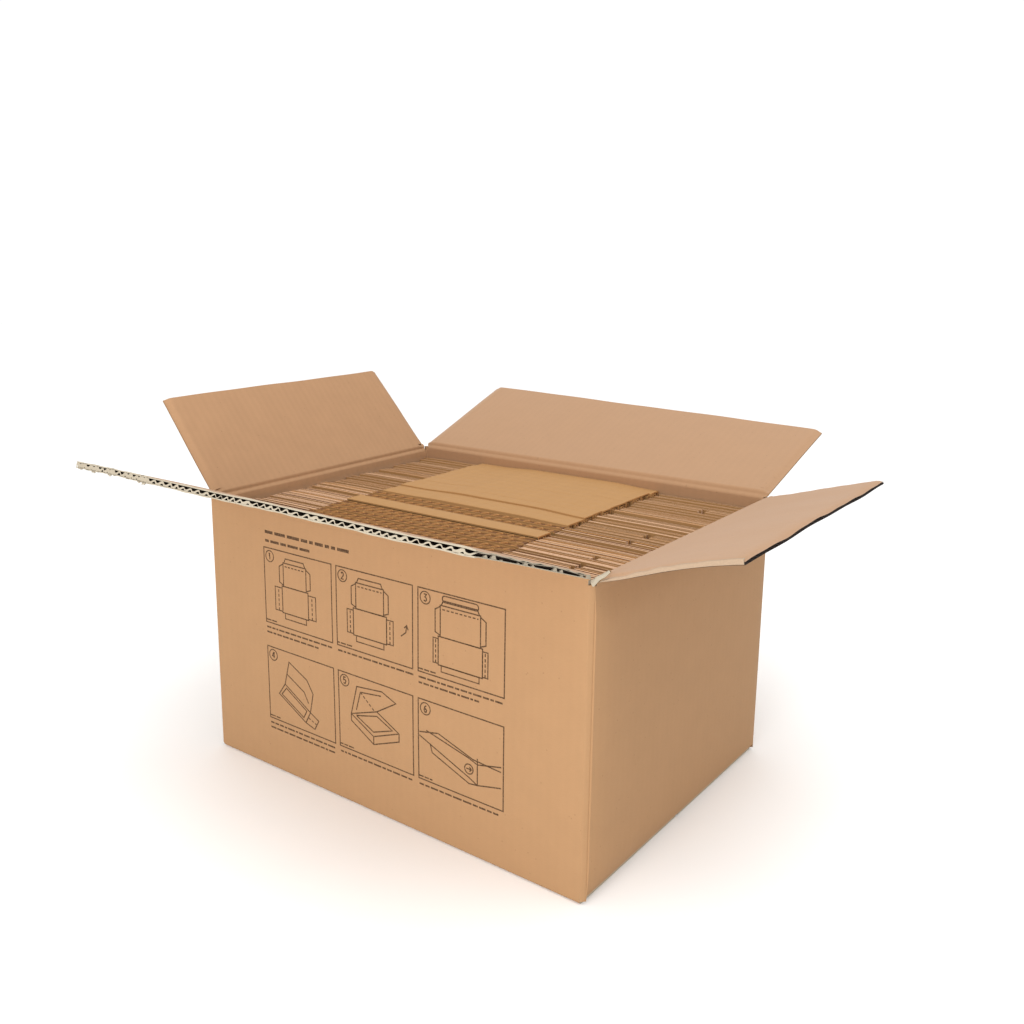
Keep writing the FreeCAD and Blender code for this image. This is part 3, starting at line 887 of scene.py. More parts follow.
def add_curl(piece, crease, walls):
    """Torn liner that is rolled up from the near fold into the root of the right flap."""
    half, reach = side_half("front")
    share = np.linspace(0, 1, 15)
    width = walls.fold_width
    inward, above_crease = 0.2 * width, 2 * MM
    start = np.array([half - inward, inward - reach, crease.origin[2] + above_crease])
    # it ends beside the flap's near edge, a little over the inner liner
    outside, up_flap, into_board, over = 2 * MM, 13 * MM, 3 * MM, 4 * MM
    root = crease.place([[-crease.half_width - outside]], [[up_flap]], [[into_board]])[0, 0]
    root = root + over * UP
    line = start + share[:, None] * (root - start)
    ahead = (root - start) / np.linalg.norm(root - start)
    level = np.cross(ahead, UP) / np.linalg.norm(np.cross(ahead, UP))
    above = np.cross(level, ahead)
    roll = np.radians(np.linspace(-30, 285, 20))
    thick_end, thin_end, liner = 2.7 * MM, 1.2 * MM, 0.45 * MM
    radius = (thick_end + (thin_end - thick_end) * share)[:, None]
    uneven = 1 + 0.25 * np.sin(9 * share + 1)[:, None] * np.cos(2 * roll + 1)
    tightening = 0.12
    grids = []
    for skin in (0.0, liner):
        # each turn of the roll lies inside the last one
        size = radius * uneven * (1 - tightening * roll / math.pi) - skin
        ring = np.cos(roll)[None, :, None] * level + np.sin(roll)[None, :, None] * above
        grids.append(line[:, None, :] + size[..., None] * ring)
    flat = flat_grid(*np.broadcast_arrays(3 * MM * roll[None, :], 14 * MM * share[:, None]))
    # the roll's outer face takes the pale edge colour, partly painted highlight; the rest takes the brown
    # edge colour, partly painted shade
    piece.add_sheet(*grids, flat, (PALE_AND_HIGHLIT, RUBBED_AND_SHADED, RUBBED_AND_SHADED, RUBBED_AND_SHADED))


class CARTON_OT_creases(bpy.types.Operator):
    """Build the crushed strip of board that each top flap turns on"""

    bl_idname = "carton.creases"
    bl_label = "Creases"

    def execute(self, context):
        scene = context.scene
        creases, walls = scene.carton_creases, scene.carton_walls
        for side in SIDES:
            crease = Crease(side, scene)
            piece = Piece()
            add_crease_strip(piece, crease, side_half(side)[0] - walls.fold_width)
            if side == "right":
                add_curl(piece, crease, walls)
            strip = piece.build(f"crease_{side}", carton_materials(scene, side))
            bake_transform(strip)
        return {"FINISHED"}


class Cut:
    """How a flap's edges were cut, and how they have worn.

    The pinches are how far each side edge is squeezed at its root and at its
    tip, and the flares how far each side edge runs outwards at its tip.
    """

    def __init__(self, finish, pinches, ragged=0.0, frayed=0.0, crushed=0.0, squeezed=0.0,
                 flares=(0.0, 0.0), short=0.0):
        self.finish, self.pinches, self.ragged = finish, pinches, ragged
        self.frayed, self.crushed, self.squeezed = frayed, crushed, squeezed
        self.flares, self.short = flares, short


def flap_cut(side):
    """The front flap is freshly cut, with pale edges partly painted highlight; the right one is crushed and
    rolled, its edges painted near black as shade; the others are rubbed, their brown edges partly painted
    shade.
    """
    if side == "front":
        # the front flap's cut edges take the pale edge colour, partly painted highlight
        return Cut(
            PALE_AND_HIGHLIT, ((0.3 * MM, 0.3 * MM), (1.6 * MM, 1.2 * MM)), ragged=0.45, frayed=1.0,
            crushed=3.0, flares=(0.0, 4 * MM))
    if side == "right":
        # the right flap's cut edges take the near black medium colour: painted shade in its flutes
        return Cut(
            MEDIUM_PAINTED_SHADE, ((3.0 * MM, 0.2 * MM), (0.8 * MM, 0.8 * MM)), ragged=0.3,
            squeezed=2.2 * MM, short=5 * MM)
    worn = (3.0 * MM, 3.0 * MM)
    # the left and back flaps' cut edges take the brown edge colour, partly painted shade
    return Cut(RUBBED_AND_SHADED, (worn, worn), flares=(-5 * MM if side == "left" else 0.0, 0.0))


class FlapSheet:
    """The grid that a flap's liners and medium share."""

    def __init__(self, crease, s, rows):
        self.crease, self.s = crease, s[None, :]
        flaps, half, cut = crease.flaps, crease.half_width, crease.cut
        first = crease.creases.reach
        near_cut = [flaps.fray_depth * share for share in (1.0, 0.7, 0.4, 0.2, 0.0)]
        last = crease.length
        base = np.linspace(first, last - 2 * flaps.fray_depth, rows)
        u = np.concatenate([base, [last - depth for depth in near_cut]])[:, None]
        # a flap that is cut short is so at its far end: the blade ran out of square
        share = (u - first) / (last - first)
        self.u = u - cut.short * crease.across(self.s) * share
        self.spread = self.s
        for side, flare in zip((-1, 1), cut.flares):
            wider = flaps.root_flare * (1 - share) + flare * share
            near_edge = smooth((side * self.s - half) / EDGE_REACH + 1)
            self.spread = self.spread + side * wider * near_edge
        # how much of the fraying shows, and how squeezed the long edge is, along the flap
        uneven = 0.85 + 0.45 * ripple(self.s, 5.2, 11.3, 1)
        self.fray = cut.frayed * uneven * smooth((u - last) / flaps.fray_depth + 1)
        squeezed = cut.squeezed * smooth((u - last) / flaps.tip_depth + 1)
        wavy = 0.9 + 0.18 * ripple(self.s, 9, 23, 2)
        self.thick = crease.thickness(self.s, self.u) - squeezed * wavy
        self.flat = flat_grid(*np.broadcast_arrays(self.s, self.u + crease.origin[2]))

    def at(self, v):
        """Points of the flap, v in from its outer liner."""
        return self.crease.place(self.spread, self.u, v)


def add_flap_board(piece, crease):
    """Two liners and the waved medium between them."""
    half, flaps, board, cut = crease.half_width, crease.flaps, crease.board, crease.cut
    sheet = FlapSheet(crease, columns_between(-half, half, 2.5 * MM), 26)
    liner = board.liner + (flaps.frayed_liner - board.liner) * sheet.fray
    proud = flaps.fray_proud * sheet.fray
    thick, edge = sheet.thick, cut.finish
    # the liners' faces toward the medium take its near black colour: painted shade inside the flutes
    piece.add_sheet(
        sheet.at(-proud), sheet.at(liner - proud), sheet.flat, (OUTSIDE, MEDIUM_PAINTED_SHADE, edge, edge))
    piece.add_sheet(
        sheet.at(thick + proud - liner), sheet.at(thick + proud), sheet.flat,
        (MEDIUM_PAINTED_SHADE, INSIDE, edge, edge))

    flutes = int(2 * half / board.flute_pitch)
    s = np.linspace(-half + 0.1 * MM, half - 0.1 * MM, FLUTE_STEPS * flutes + 1)
    sheet = FlapSheet(crease, s, 10)
    # the flutes are not even; at the far left of a frayed edge they are crushed thick
    drift = 2.0 * MM * np.sin(sheet.s / (21 * MM)) + 1.2 * MM * np.sin(sheet.s / (7.7 * MM) + 2)
    turns = 2 * math.pi * (sheet.s + drift) / board.flute_pitch
    crush_start, crush_run = -40 * MM, 90 * MM
    crushed = cut.crushed * smooth((crush_start - sheet.s) / crush_run)
    medium = board.medium + (flaps.frayed_medium - board.medium) * sheet.fray * (1 + crushed)
    if cut.frayed:
        medium = medium * (1 + 0.5 * ripple(sheet.s, 13.7, 4.1))
    least_room = 0.02 * MM
    room = np.maximum((sheet.thick - 2 * board.liner - board.medium) / 2, least_room)
    # in the frayed edge the medium sags on to the outer liner, and closes every other hole
    sagged = np.clip(np.sin(turns) - 0.55 * sheet.fray, -1, 1)
    height = room * sagged * (1 - 0.25 * sheet.fray * (1 + np.sin(sheet.s / (5.3 * MM))) / 2)
    # and there the flutes lean over
    sheet.spread = sheet.spread + 0.6 * sheet.fray * height
    slope = room * 2 * math.pi / board.flute_pitch * np.cos(turns)
    half_sheet = medium / 2 * np.sqrt(1 + slope ** 2)
    centre = sheet.thick / 2 + height
    # the medium's near black colour is painted shade inside the flutes
    piece.add_sheet(
        sheet.at(centre - half_sheet), sheet.at(centre + half_sheet), sheet.flat,
        (MEDIUM_PAINTED_SHADE, MEDIUM_PAINTED_SHADE, edge, edge))


def add_shade_plug(piece, crease):
    """A near black sheet that closes the long cut edge a little way in: painted shade in its flute openings.
    """
    reach = crease.half_width - 0.4 * MM
    sheet = FlapSheet(crease, columns_between(-reach, reach, 5 * MM), 4)
    sheet.u = (sheet.u - crease.flaps.plug_depth)[-3:]
    sheet.spread, thick = sheet.spread[-3:], sheet.thick[-3:]
    liner = np.full_like(thick, crease.board.liner * 0.9)
    piece.add_sheet(
        sheet.at(liner), sheet.at(thick - liner), sheet.flat[-3:], (MEDIUM_PAINTED_SHADE, MEDIUM_PAINTED_SHADE, MEDIUM_PAINTED_SHADE, MEDIUM_PAINTED_SHADE))


def add_torn_side(piece, crease):
    """What is left of the medium in the flap's right side edge, torn into a ragged row."""
    half, first, last = crease.half_width, crease.creases.reach, crease.length
    flare, liner = crease.cut.flares[1], crease.board.liner
    short_of_tip, inside_cut, row_depth = 4 * MM, 0.3 * MM, 1.2 * MM
    u = np.linspace(first, last - short_of_tip, 110)[:, None]
    share = (u - first) / (last - first)
    edge = half + crease.flaps.root_flare * (1 - share) + flare * share - inside_cut
    thick = crease.thickness(np.full_like(u, half), u)
    left_over = 1.5 * ripple(u, 2.3, 3.7, 1) - 0.3
    top = liner + (thick - 2 * liner) * np.clip(left_over, 0.05, 1)
    v = np.hstack([np.full_like(top, liner / 2), top])
    grids = [crease.place(edge - inward + 0 * v, u, v) for inward in (0.0, row_depth)]
    flat = flat_grid(*np.broadcast_arrays(edge + v, u + crease.origin[2]))
    # the torn row takes the pale edge colour, partly painted highlight
    piece.add_sheet(*grids, flat, (PALE_AND_HIGHLIT, PALE_AND_HIGHLIT, PALE_AND_HIGHLIT, PALE_AND_HIGHLIT))


def add_rolled_edge(piece, crease):
    """The inner liner of the near side edge, rolled over the cut."""
    half = crease.half_width
    over_strip, short_of_tip, tuck = 3 * MM, 0.5 * MM, 2 * MM
    first, last = crease.creases.reach - over_strip, crease.length - short_of_tip
    u = np.linspace(first, last, 48)[:, None]
    roll = np.radians(np.concatenate([[-60, -25], np.linspace(0, 150, 13)]))[None, :]
    thick = crease.thickness(np.full_like(roll, -half), u)
    uneven = 1 + 0.35 * ripple(u, 6.1, 17, 0.7)
    edge = -half - crease.flaps.root_flare * (1 - np.clip(u / crease.length, 0, 1))
    grids = []
    for skin in (0.0, crease.board.liner):
        bulge = crease.flaps.roll_bulge * uneven - skin
        s = edge - np.where(roll < 0, tuck * np.sin(roll), bulge * np.sin(roll))
        radius = thick / 2 - skin
        v = thick / 2 + np.where(roll < 0, radius, radius * np.cos(roll)) + 0.1 * MM
        grids.append(crease.place(s, u, v))
    flat = flat_grid(*np.broadcast_arrays(-half - roll * tuck, u + crease.origin[2]))
    # the roll's inner face takes the near black medium colour, painted as the dark gap beneath it
    piece.add_sheet(*grids, flat, (ROLLED_PALER, MEDIUM_PAINTED_SHADE, PALE_AND_HIGHLIT, ROLLED_PALER))


class CARTON_OT_flaps(bpy.types.Operator):
    """Build the four top flaps of fluted board"""

    bl_idname = "carton.flaps"
    bl_label = "Top flaps"

    def execute(self, context):
        scene = context.scene
        for side in SIDES:
            crease = Crease(side, scene)
            piece = Piece()
            add_flap_board(piece, crease)
            if side == "front":
                add_torn_side(piece, crease)
            if side == "right":
                add_shade_plug(piece, crease)
                add_rolled_edge(piece, crease)
            flap = piece.build(f"{side}_flap_board", carton_materials(scene, side))
            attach(flap, crease.body)
            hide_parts(f"flap_{side}")
        return {"FINISHED"}


# ------------------------------------------------------------------- blanks

# the dark finish is painted shade in flutes and gaps; the wing finish is a lighter copy, painted light on
# lit tops
LINER, EDGE, EDGE_SHADE, WING_LIT = range(4)

# from the middle of a blank's space to that of a layer, as a share of the space
LAYER_SHARE = 0.256
# half the width of a cut's wall, between the two columns that make it
CUT_WALL = 0.02 * MM
# share of the folds that are pressed to the next one, and how far each spreads to meet it
PRESSED_SHARE = 0.7
PRESSED_SPREAD = 0.2 * MM
# room between the pressed fold and the layers under it
FOLD_ROOM = 0.3 * MM
# how much of its width a streak of crushed flutes fills
STREAK_SHARE = 0.85
# blanks whose end slot is torn through the folded edge as well
TORN = ("mailer_08", "mailer_15")
TORN_WIDER = 1.3


class Blank:
    """One folded blank: its space, which way up it stands, and its cut outline."""

    def __init__(self, node, blanks):
        low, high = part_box(node)
        self.low, self.high, self.blanks = np.array(low), np.array(high), blanks
        self.random = random.Random(node)
        self.torn = node in TORN
        self.corner = blanks.corner_cut * self.random.choice((0, 0.3, 1))
        shift = self.random.uniform(-1, 1) * blanks.notch_shift
        self.left = self.low[0] + blanks.left_wing + shift
        self.right = self.left + blanks.centre_panel
        self.start = self.low[0] - blanks.left_reach
        self.turned = self.is_turned(node)
        self.loose = self.high[1] - self.low[1] > WIDE_SPACE
        open_slot = blanks.notch_width * self.random.choice((1.1, 1.4, 1.7))
        self.slot = blanks.shut_slot if self.loose else open_slot
        self.board = blanks.loose_thickness if self.loose else blanks.thickness

    def is_turned(self, node):
        """Whether the fold is at the bottom: its wings then reach the top of the space."""
        mesh = frame["nodes"][node].data
        tops = [v.co.x for v in mesh.vertices if v.co.z > self.high[2] - self.blanks.wing_drop / 2]
        return min(tops) < self.left - 2 * self.blanks.notch_width

    def slots(self, layer):
        """The middle and the width of each slot: two beside the centre panel, and one near the end."""
        blanks = self.blanks
        width = self.slot if layer.slotted else blanks.shut_slot
        end_width = blanks.end_slot_width * (TORN_WIDER if self.torn else 1)
        end = self.high[0] - blanks.end_slot_inset
        return [(self.left, width), (self.right, width), (end, end_width)]

    def outline(self, x, fold_end, layer):
        """How far the cut outline is inside the blank's space at each x, at one end of it."""
        blanks = self.blanks
        wing = (x < self.left) | (x > self.right)
        to_wall = np.minimum(x - self.start, self.high[0] - x)
        ends = np.clip(1 - to_wall / blanks.end_length, 0, 1) ** 2
        low_wing = blanks.wing_drop + layer.sink + blanks.end_drop * ends
        inset = np.where(wing, low_wing, 0 if fold_end else layer.sink)
        inset = inset + self.corner * (x < self.start + blanks.corner_width)
        with_end = self.torn or (layer.slotted and not fold_end)
        for middle, width in self.slots(layer)[:3 if with_end else 2]:
            inset = np.where(abs(x - middle) < width / 2, blanks.notch_depth, inset)
        return inset

    def edges(self, layer):
        """The x of every corner of the outline, each as a pair of close columns."""
        marks = [middle + side * width / 2 for middle, width in self.slots(layer) for side in (-1, 1)]
        marks.append(self.start + self.blanks.corner_width)
        return [x + side * CUT_WALL for x in marks for side in (-1, 1)]

    def layers(self):
        """The y of the middles of the two layers."""
        near, far = self.low[1], self.high[1]
        if self.loose:
            inward = self.board / 2 - self.blanks.swell
            return near + inward, far - inward
        apart = (far - near) * LAYER_SHARE
        return (near + far) / 2 - apart, (near + far) / 2 + apart


class Layer:
    """One of a blank's two layers: how far its wings have sunk, and whether it has an end slot."""

    def __init__(self, blank, slotted):
        self.sink = blank.random.uniform(0, blank.blanks.wing_uneven)
        self.slotted = slotted


def add_blank_sheet(piece, blank, x, y_near, y_far, trims, layer, finishes):
    """A sheet on edge between two y values, cut to the blank's outline less two trims."""
    top = blank.high[2] - blank.outline(x, not blank.turned, layer) - trims[1]
    bottom = blank.low[2] + blank.outline(x, blank.turned, layer) + trims[0]
    z = np.stack([bottom, top])
    wide = np.broadcast_to(x, z.shape)
    grids = [np.stack([wide, np.broadcast_to(y, z.shape), z], axis=-1) for y in (y_near, y_far)]
    piece.add_sheet(*grids, flat_grid(wide, z), finishes)


def add_layer(piece, blank, y, trims, slotted):
    """One layer of fluted board; a little inside its centre panel's cut edge, a sheet is painted dark as the
    shade in the open flutes.
    """
    blanks = blank.blanks
    first, last = blank.start, blank.high[0]
    half = blank.board / 2
    inside = half - blanks.liner
    layer = Layer(blank, slotted)
    x = np.array(sorted([*np.linspace(first, last, 40), *blank.edges(layer)]))
    middle = (x > blank.left) & (x < blank.right)
    # on the wings the liners' cut edges take the lighter wing colour, painted light on their tops
    for part, edge in ((x <= blank.left, WING_LIT), (middle, EDGE), (x >= blank.right, WING_LIT)):
        for near in (y - half, y + inside):
            add_blank_sheet(
                piece, blank, x[part], near, near + blanks.liner, trims, layer,
                (LINER, LINER, edge, edge))
        if edge == WING_LIT:
            add_wing_plies(piece, blank, x[part], y, inside, trims, layer)
    count = FLUTE_STEPS * int((last - first) / blanks.flute_pitch)
    x = np.array(sorted([*np.linspace(first, last, count + 1), *blank.edges(layer)]))
    phase = blank.random.uniform(0, 2 * math.pi)
    turns = 2 * math.pi * x / blanks.flute_pitch + phase
    room = half - blanks.liner - blanks.medium / 2
    slope = room * 2 * math.pi / blanks.flute_pitch * np.cos(turns)
    wave = y + room * np.sin(turns)
    sheet = blanks.medium / 2 * np.sqrt(1 + slope ** 2)
    # only every other flank of a flute stands up to the cut edge, and none on the wings
    fade = 9 * MM
    centre = smooth((x - blank.left) / fade) * smooth((blank.right - x) / fade)
    buried = blanks.flute_depth * (1 + centre * (1 - 2 * smooth(0.5 + 2 * np.cos(turns))))
    lowered = [trim + buried for trim in trims]
    add_blank_sheet(piece, blank, x, wave - sheet, wave + sheet, lowered, layer, (EDGE,) * 4)
    # the centre panel's flutes are open a little way in, down to a sheet painted dark as the shade in them
    middle = (x > blank.left) & (x < blank.right)
    closed = [trim + 0.5 * blanks.flute_depth * (0.5 + centre[middle]) for trim in trims]
    add_blank_sheet(
        piece, blank, x[middle], y - inside, y + inside, closed, layer,
        (EDGE_SHADE, EDGE_SHADE, EDGE_SHADE, EDGE))


def add_wing_plies(piece, blank, x, y, inside, trims, layer):
    """A wing's flutes, crushed nearly shut into thin streaks that each end at their own depth; their sides
    are painted dark as the shade in the gaps.
    """
    blanks = blank.blanks
    count = round(2 * inside / blanks.ply)
    width = 2 * inside / count
    for ply in range(count):
        near = y - inside + ply * width
        deep = blank.random.uniform(0.1, 1) * blanks.ply_drop
        # a streak's top takes at random the lighter wing colour, painted light, the plain edge colour, or
        # the dark colour, painted shade
        finish = blank.random.choice((WING_LIT, WING_LIT, WING_LIT, EDGE, EDGE_SHADE))
        lowered = [trim + deep for trim in trims]
        add_blank_sheet(
            piece, blank, x, near, near + STREAK_SHARE * width, lowered, layer,
            (EDGE_SHADE, EDGE_SHADE, finish, EDGE_SHADE))


def add_fold(piece, blank):
    """The pressed fold over the centre panel."""
    blanks = blank.blanks
    rng = blank.random
    # most folds are pressed against the next one, and a few leave a groove
    pressed = rng.random() < PRESSED_SHARE
    radius, sheet = (blanks.fold_radius if pressed else blanks.open_joint), blanks.fold_sheet
    spread = blanks.swell if blank.loose else PRESSED_SPREAD if pressed else 0.0
    near, far = blank.low[1] - spread, blank.high[1] + spread
    bend = np.radians(np.linspace(0, 90, 5))
    outer = [(near, blanks.fold_drop)]
    outer += [(near + radius * (1 - math.cos(a)), radius * (1 - math.sin(a))) for a in bend]
    outer += [(far - radius * (1 - math.sin(a)), radius * (1 - math.cos(a))) for a in bend]
    outer += [(far, blanks.fold_drop)]
    # the inner face follows a sheet's thickness further in
    middle, half = (near + far) / 2, (far - near) / 2
    inner = [
        (middle + (y - middle) * (half - sheet) / half, min(depth + sheet, blanks.fold_drop))
        for y, depth in outer
    ]
    half_notch = blank.slot / 2
    x = np.linspace(blank.left + half_notch, blank.right - half_notch, 42)
    sag = sum(
        rng.uniform(0.02, 0.06) * MM * (1 + np.sin(x / (rng.uniform(14, 40) * MM) + rng.uniform(0, 6)))
        for _ in range(3)
    )
    crown_ease = 50 * MM
    free = smooth((blanks.crown_half - abs(x)) / crown_ease)
    grown = smooth((near - blanks.crown_start) / blanks.crown_depth)
    level = blanks.fold_level - blank.high[2] if pressed else 0.0
    bow = 0 * x if blank.turned else blanks.crown * free * grown + level
    grids = []
    for profile in (outer, inner):
        y = np.array([p[0] for p in profile])[:, None]
        depth = np.array([p[1] for p in profile])[:, None]
        depth = depth + (sag - bow)[None, :] * (depth < blanks.fold_drop - CUT_WALL)
        z = blank.low[2] + depth if blank.turned else blank.high[2] - depth
        grids.append(np.stack(np.broadcast_arrays(x[None, :], y, z), axis=-1))
    across_fold = 50 * MM
    u = np.linspace(0, across_fold, len(outer))[:, None]
    piece.add_sheet(*grids, flat_grid(x[None, :], u), (LINER, LINER, EDGE, EDGE))


def blank_materials(scene):
    """The blanks' liner, cut edge, a dark copy of the edge painted as shade in flutes and gaps, and a
    lighter copy painted as light on the wings' edges.
    """
    colours, blanks = scene.carton_colours, scene.carton_blanks
    if bpy.data.materials.get("blank_liner") is None:
        kraft_liner("blank_liner", colours.blank, blanks.flute_pitch, cloud=0.06)
        fibrous_board("blank_edge", colours.blank_edge, 0.9 * MM, 0.15)
        fibrous_board("blank_crushed_flutes", colours.crushed, 0.9 * MM, 0.2)
        fibrous_board("blank_wing_edge", colours.wing_edge, 0.9 * MM, 0.15)
    names = ("blank_liner", "blank_edge", "blank_crushed_flutes", "blank_wing_edge")
    return [bpy.data.materials[name] for name in names]


class CARTON_OT_blanks(bpy.types.Operator):
    """Build the folded mailer blanks, in the spaces that the frame gives them"""

    bl_idname = "carton.blanks"
    bl_label = "Folded blanks"

    def execute(self, context):
        scene = context.scene
        blanks = scene.carton_blanks
        for node in sorted(name for name in frame["nodes"] if name.startswith("mailer_")):
            blank = Blank(node, blanks)
            piece = Piece()
            under_fold = blanks.fold_sheet + FOLD_ROOM
            trims = (under_fold, 0.0) if blank.turned else (0.0, under_fold)
            slotted = blank.random.randrange(2)
            for number, y in enumerate(blank.layers()):
                add_layer(piece, blank, y, trims, number == slotted)
            add_fold(piece, blank)
            made = piece.build(f"{node}_board", blank_materials(scene))
            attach(made, "carton")
            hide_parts(node)
        return {"FINISHED"}


# -------------------------------------------------------------------- print

# a plain number as strokes in a box one wide and one high
NUMBERS = (
    (((0.3, 0.75), (0.55, 1), (0.55, 0)),),
    (((0.15, 0.8), (0.35, 1), (0.65, 1), (0.85, 0.75), (0.75, 0.5), (0.15, 0), (0.9, 0)),),
    (((0.15, 1), (0.85, 1), (0.45, 0.6), (0.8, 0.45), (0.85, 0.2), (0.6, 0), (0.15, 0.1)),),
    (((0.7, 0), (0.7, 1), (0.1, 0.3), (0.95, 0.3)),),
    (((0.85, 1), (0.25, 1), (0.2, 0.55), (0.65, 0.6), (0.85, 0.35), (0.65, 0), (0.15, 0.05)),),
    ((
        (0.75, 1), (0.35, 0.75), (0.2, 0.3), (0.4, 0), (0.7, 0), (0.85, 0.3), (0.6, 0.5), (0.25, 0.4),
    ),),
)


def rounded(left, bottom, right, top, radius):
    """A box with round corners, as points."""
    points = []
    for turn, (x, z) in enumerate((
        (right - radius, top - radius), (left + radius, top - radius),
        (left + radius, bottom + radius), (right - radius, bottom + radius),
    )):
        for step in range(5):
            bend = (turn + step / 4) * math.pi / 2
            points.append((x + radius * math.cos(bend), z + radius * math.sin(bend)))
    return points


class Plate:
    """The rubber plate of the print.

    Its strokes are in millimetres, along the wall and up from a corner.
    """

    def __init__(self, piece, scene, corner):
        self.piece, self.walls, self.ink = piece, scene.carton_walls, scene.carton_print
        self.reach = side_half("front")[1]
        self.corner = np.array(corner)

    def on_wall(self, line, depth):
        """Points of the front wall, a little in front of it or behind it."""
        x, z = line[..., 0], line[..., 1]
        y = -self.reach - swell(self.walls, "front", x, z) + depth
        return np.stack([x, y, z], axis=-1)

    def stroke(self, points, closed=False, weight=1.0):
        """One inked line through the points."""
        corners = np.array(points) * MM + self.corner
        loop = np.vstack([corners, corners[:1]]) if closed else corners
        # extra points let the ink follow the wall
        parts = []
        for start, end in zip(loop[:-1], loop[1:]):
            count = max(1, math.ceil(np.linalg.norm(end - start) / (4 * MM)))
            parts.append(start + (end - start) * np.arange(count)[:, None] / count)
        line = np.concatenate(parts if closed else parts + [loop[-1:]])
        ahead = np.roll(line, -1, axis=0) - line
        behind = line - np.roll(line, 1, axis=0)
        if not closed:
            ahead[-1], behind[0] = behind[-1], ahead[0]
        ahead /= np.linalg.norm(ahead, axis=1)[:, None]
        behind /= np.linalg.norm(behind, axis=1)[:, None]
        bisector = ahead + behind
        # a hairpin has no bisector, so it keeps the way it came
        sharp = np.linalg.norm(bisector, axis=1) < 0.7
        bisector[sharp] = behind[sharp]
        bisector /= np.linalg.norm(bisector, axis=1)[:, None]
        mitre = 1 / np.maximum(np.sum(bisector * ahead, axis=1), 0.6)
        across = np.stack([-bisector[:, 1], bisector[:, 0]], axis=1) * mitre[:, None]
        half = weight * self.ink.line / 2
        grid = np.stack([line - half * across, line + half * across])
        near = self.on_wall(grid, -self.ink.film)
        far = self.on_wall(grid, self.ink.film)
        flat = flat_grid(grid[..., 0], grid[..., 1])
        self.piece.add_sheet(near, far, flat, (0, 0, 0, 0), ring=closed)

    def box(self, left, bottom, right, top, radius=0.0, weight=1.0):
        if radius:
            self.stroke(rounded(left, bottom, right, top, radius), True, weight)
        else:
            self.stroke(((left, bottom), (right, bottom), (right, top), (left, top)), True, weight)

    def dashes(self, start, end, dash=2.6, gap=1.5):
        """A fold, drawn as a dashed line."""
        start, end = np.array(start, float), np.array(end, float)
        reach = np.linalg.norm(end - start)
        way = (end - start) / reach
        for at in np.arange(0, reach, dash + gap):
            self.stroke((start + at * way, start + min(at + dash, reach) * way))

    def number(self, value):
        """A number in a ring, in the upper left corner of the frame."""
        radius = self.ink.badge / MM
        from_corner, width, height = radius + 2.2, 3.8, 5.6
        x, z = from_corner, self.ink.frame_height / MM - from_corner
        self.box(x - radius, z - radius, x + radius, z + radius, radius - 0.01, 0.9)
        for points in NUMBERS[value]:
            placed = [(x + width * (a - 0.5), z + height * (b - 0.5)) for a, b in points]
            self.stroke(placed, weight=1.1)

    def text_row(self, random_bars, x, z, width, height):
        """A row of plain bars of unlike length, where a line of words would be."""
        above, thick, gap = 0.35 * height, 0.5 * height, 0.42 * height
        end, middle = x + width, z + above
        weight = thick * MM / self.ink.line
        while x < end:
            bar = random_bars.uniform(0.8, 2.9) * height
            self.stroke(((x, middle), (x + bar, middle)), weight=weight)
            x += bar + gap


def draw_flat_blank(plate, cover, tray, lift):
    """A blank laid out flat: a cover with round ears above, and a tray with double sides below."""
    left, right, fold, top = cover
    plate.box(left, fold, right, top)
    for side, x in ((-5, left), (5, right)):
        plate.stroke(((x, fold + 1), (x + side, fold + 3), (x + side, top - 4), (x, top - 1)))
    plate.stroke(((left + 1, top), (left + 3, top + 4), (right - 3, top + 4), (right - 1, top)))
    inner_left, inner_right, bottom = tray
    plate.box(inner_left, bottom, inner_right, fold)
    for side, inner in ((-1, inner_left), (1, inner_right)):
        outer = inner + side * (9 - lift)
        plate.box(min(inner, outer), bottom + 1, max(inner, outer), fold - 2, weight=0.9)
        middle = (inner + outer) / 2
        plate.dashes((middle, bottom + 1), (middle, fold - 2))
    plate.box(inner_left + 3, bottom - 5, inner_right - 3, bottom, weight=0.9)
    plate.dashes((left, fold), (right, fold))
    plate.dashes((left + 2, top - 3), (right - 2, top - 3))


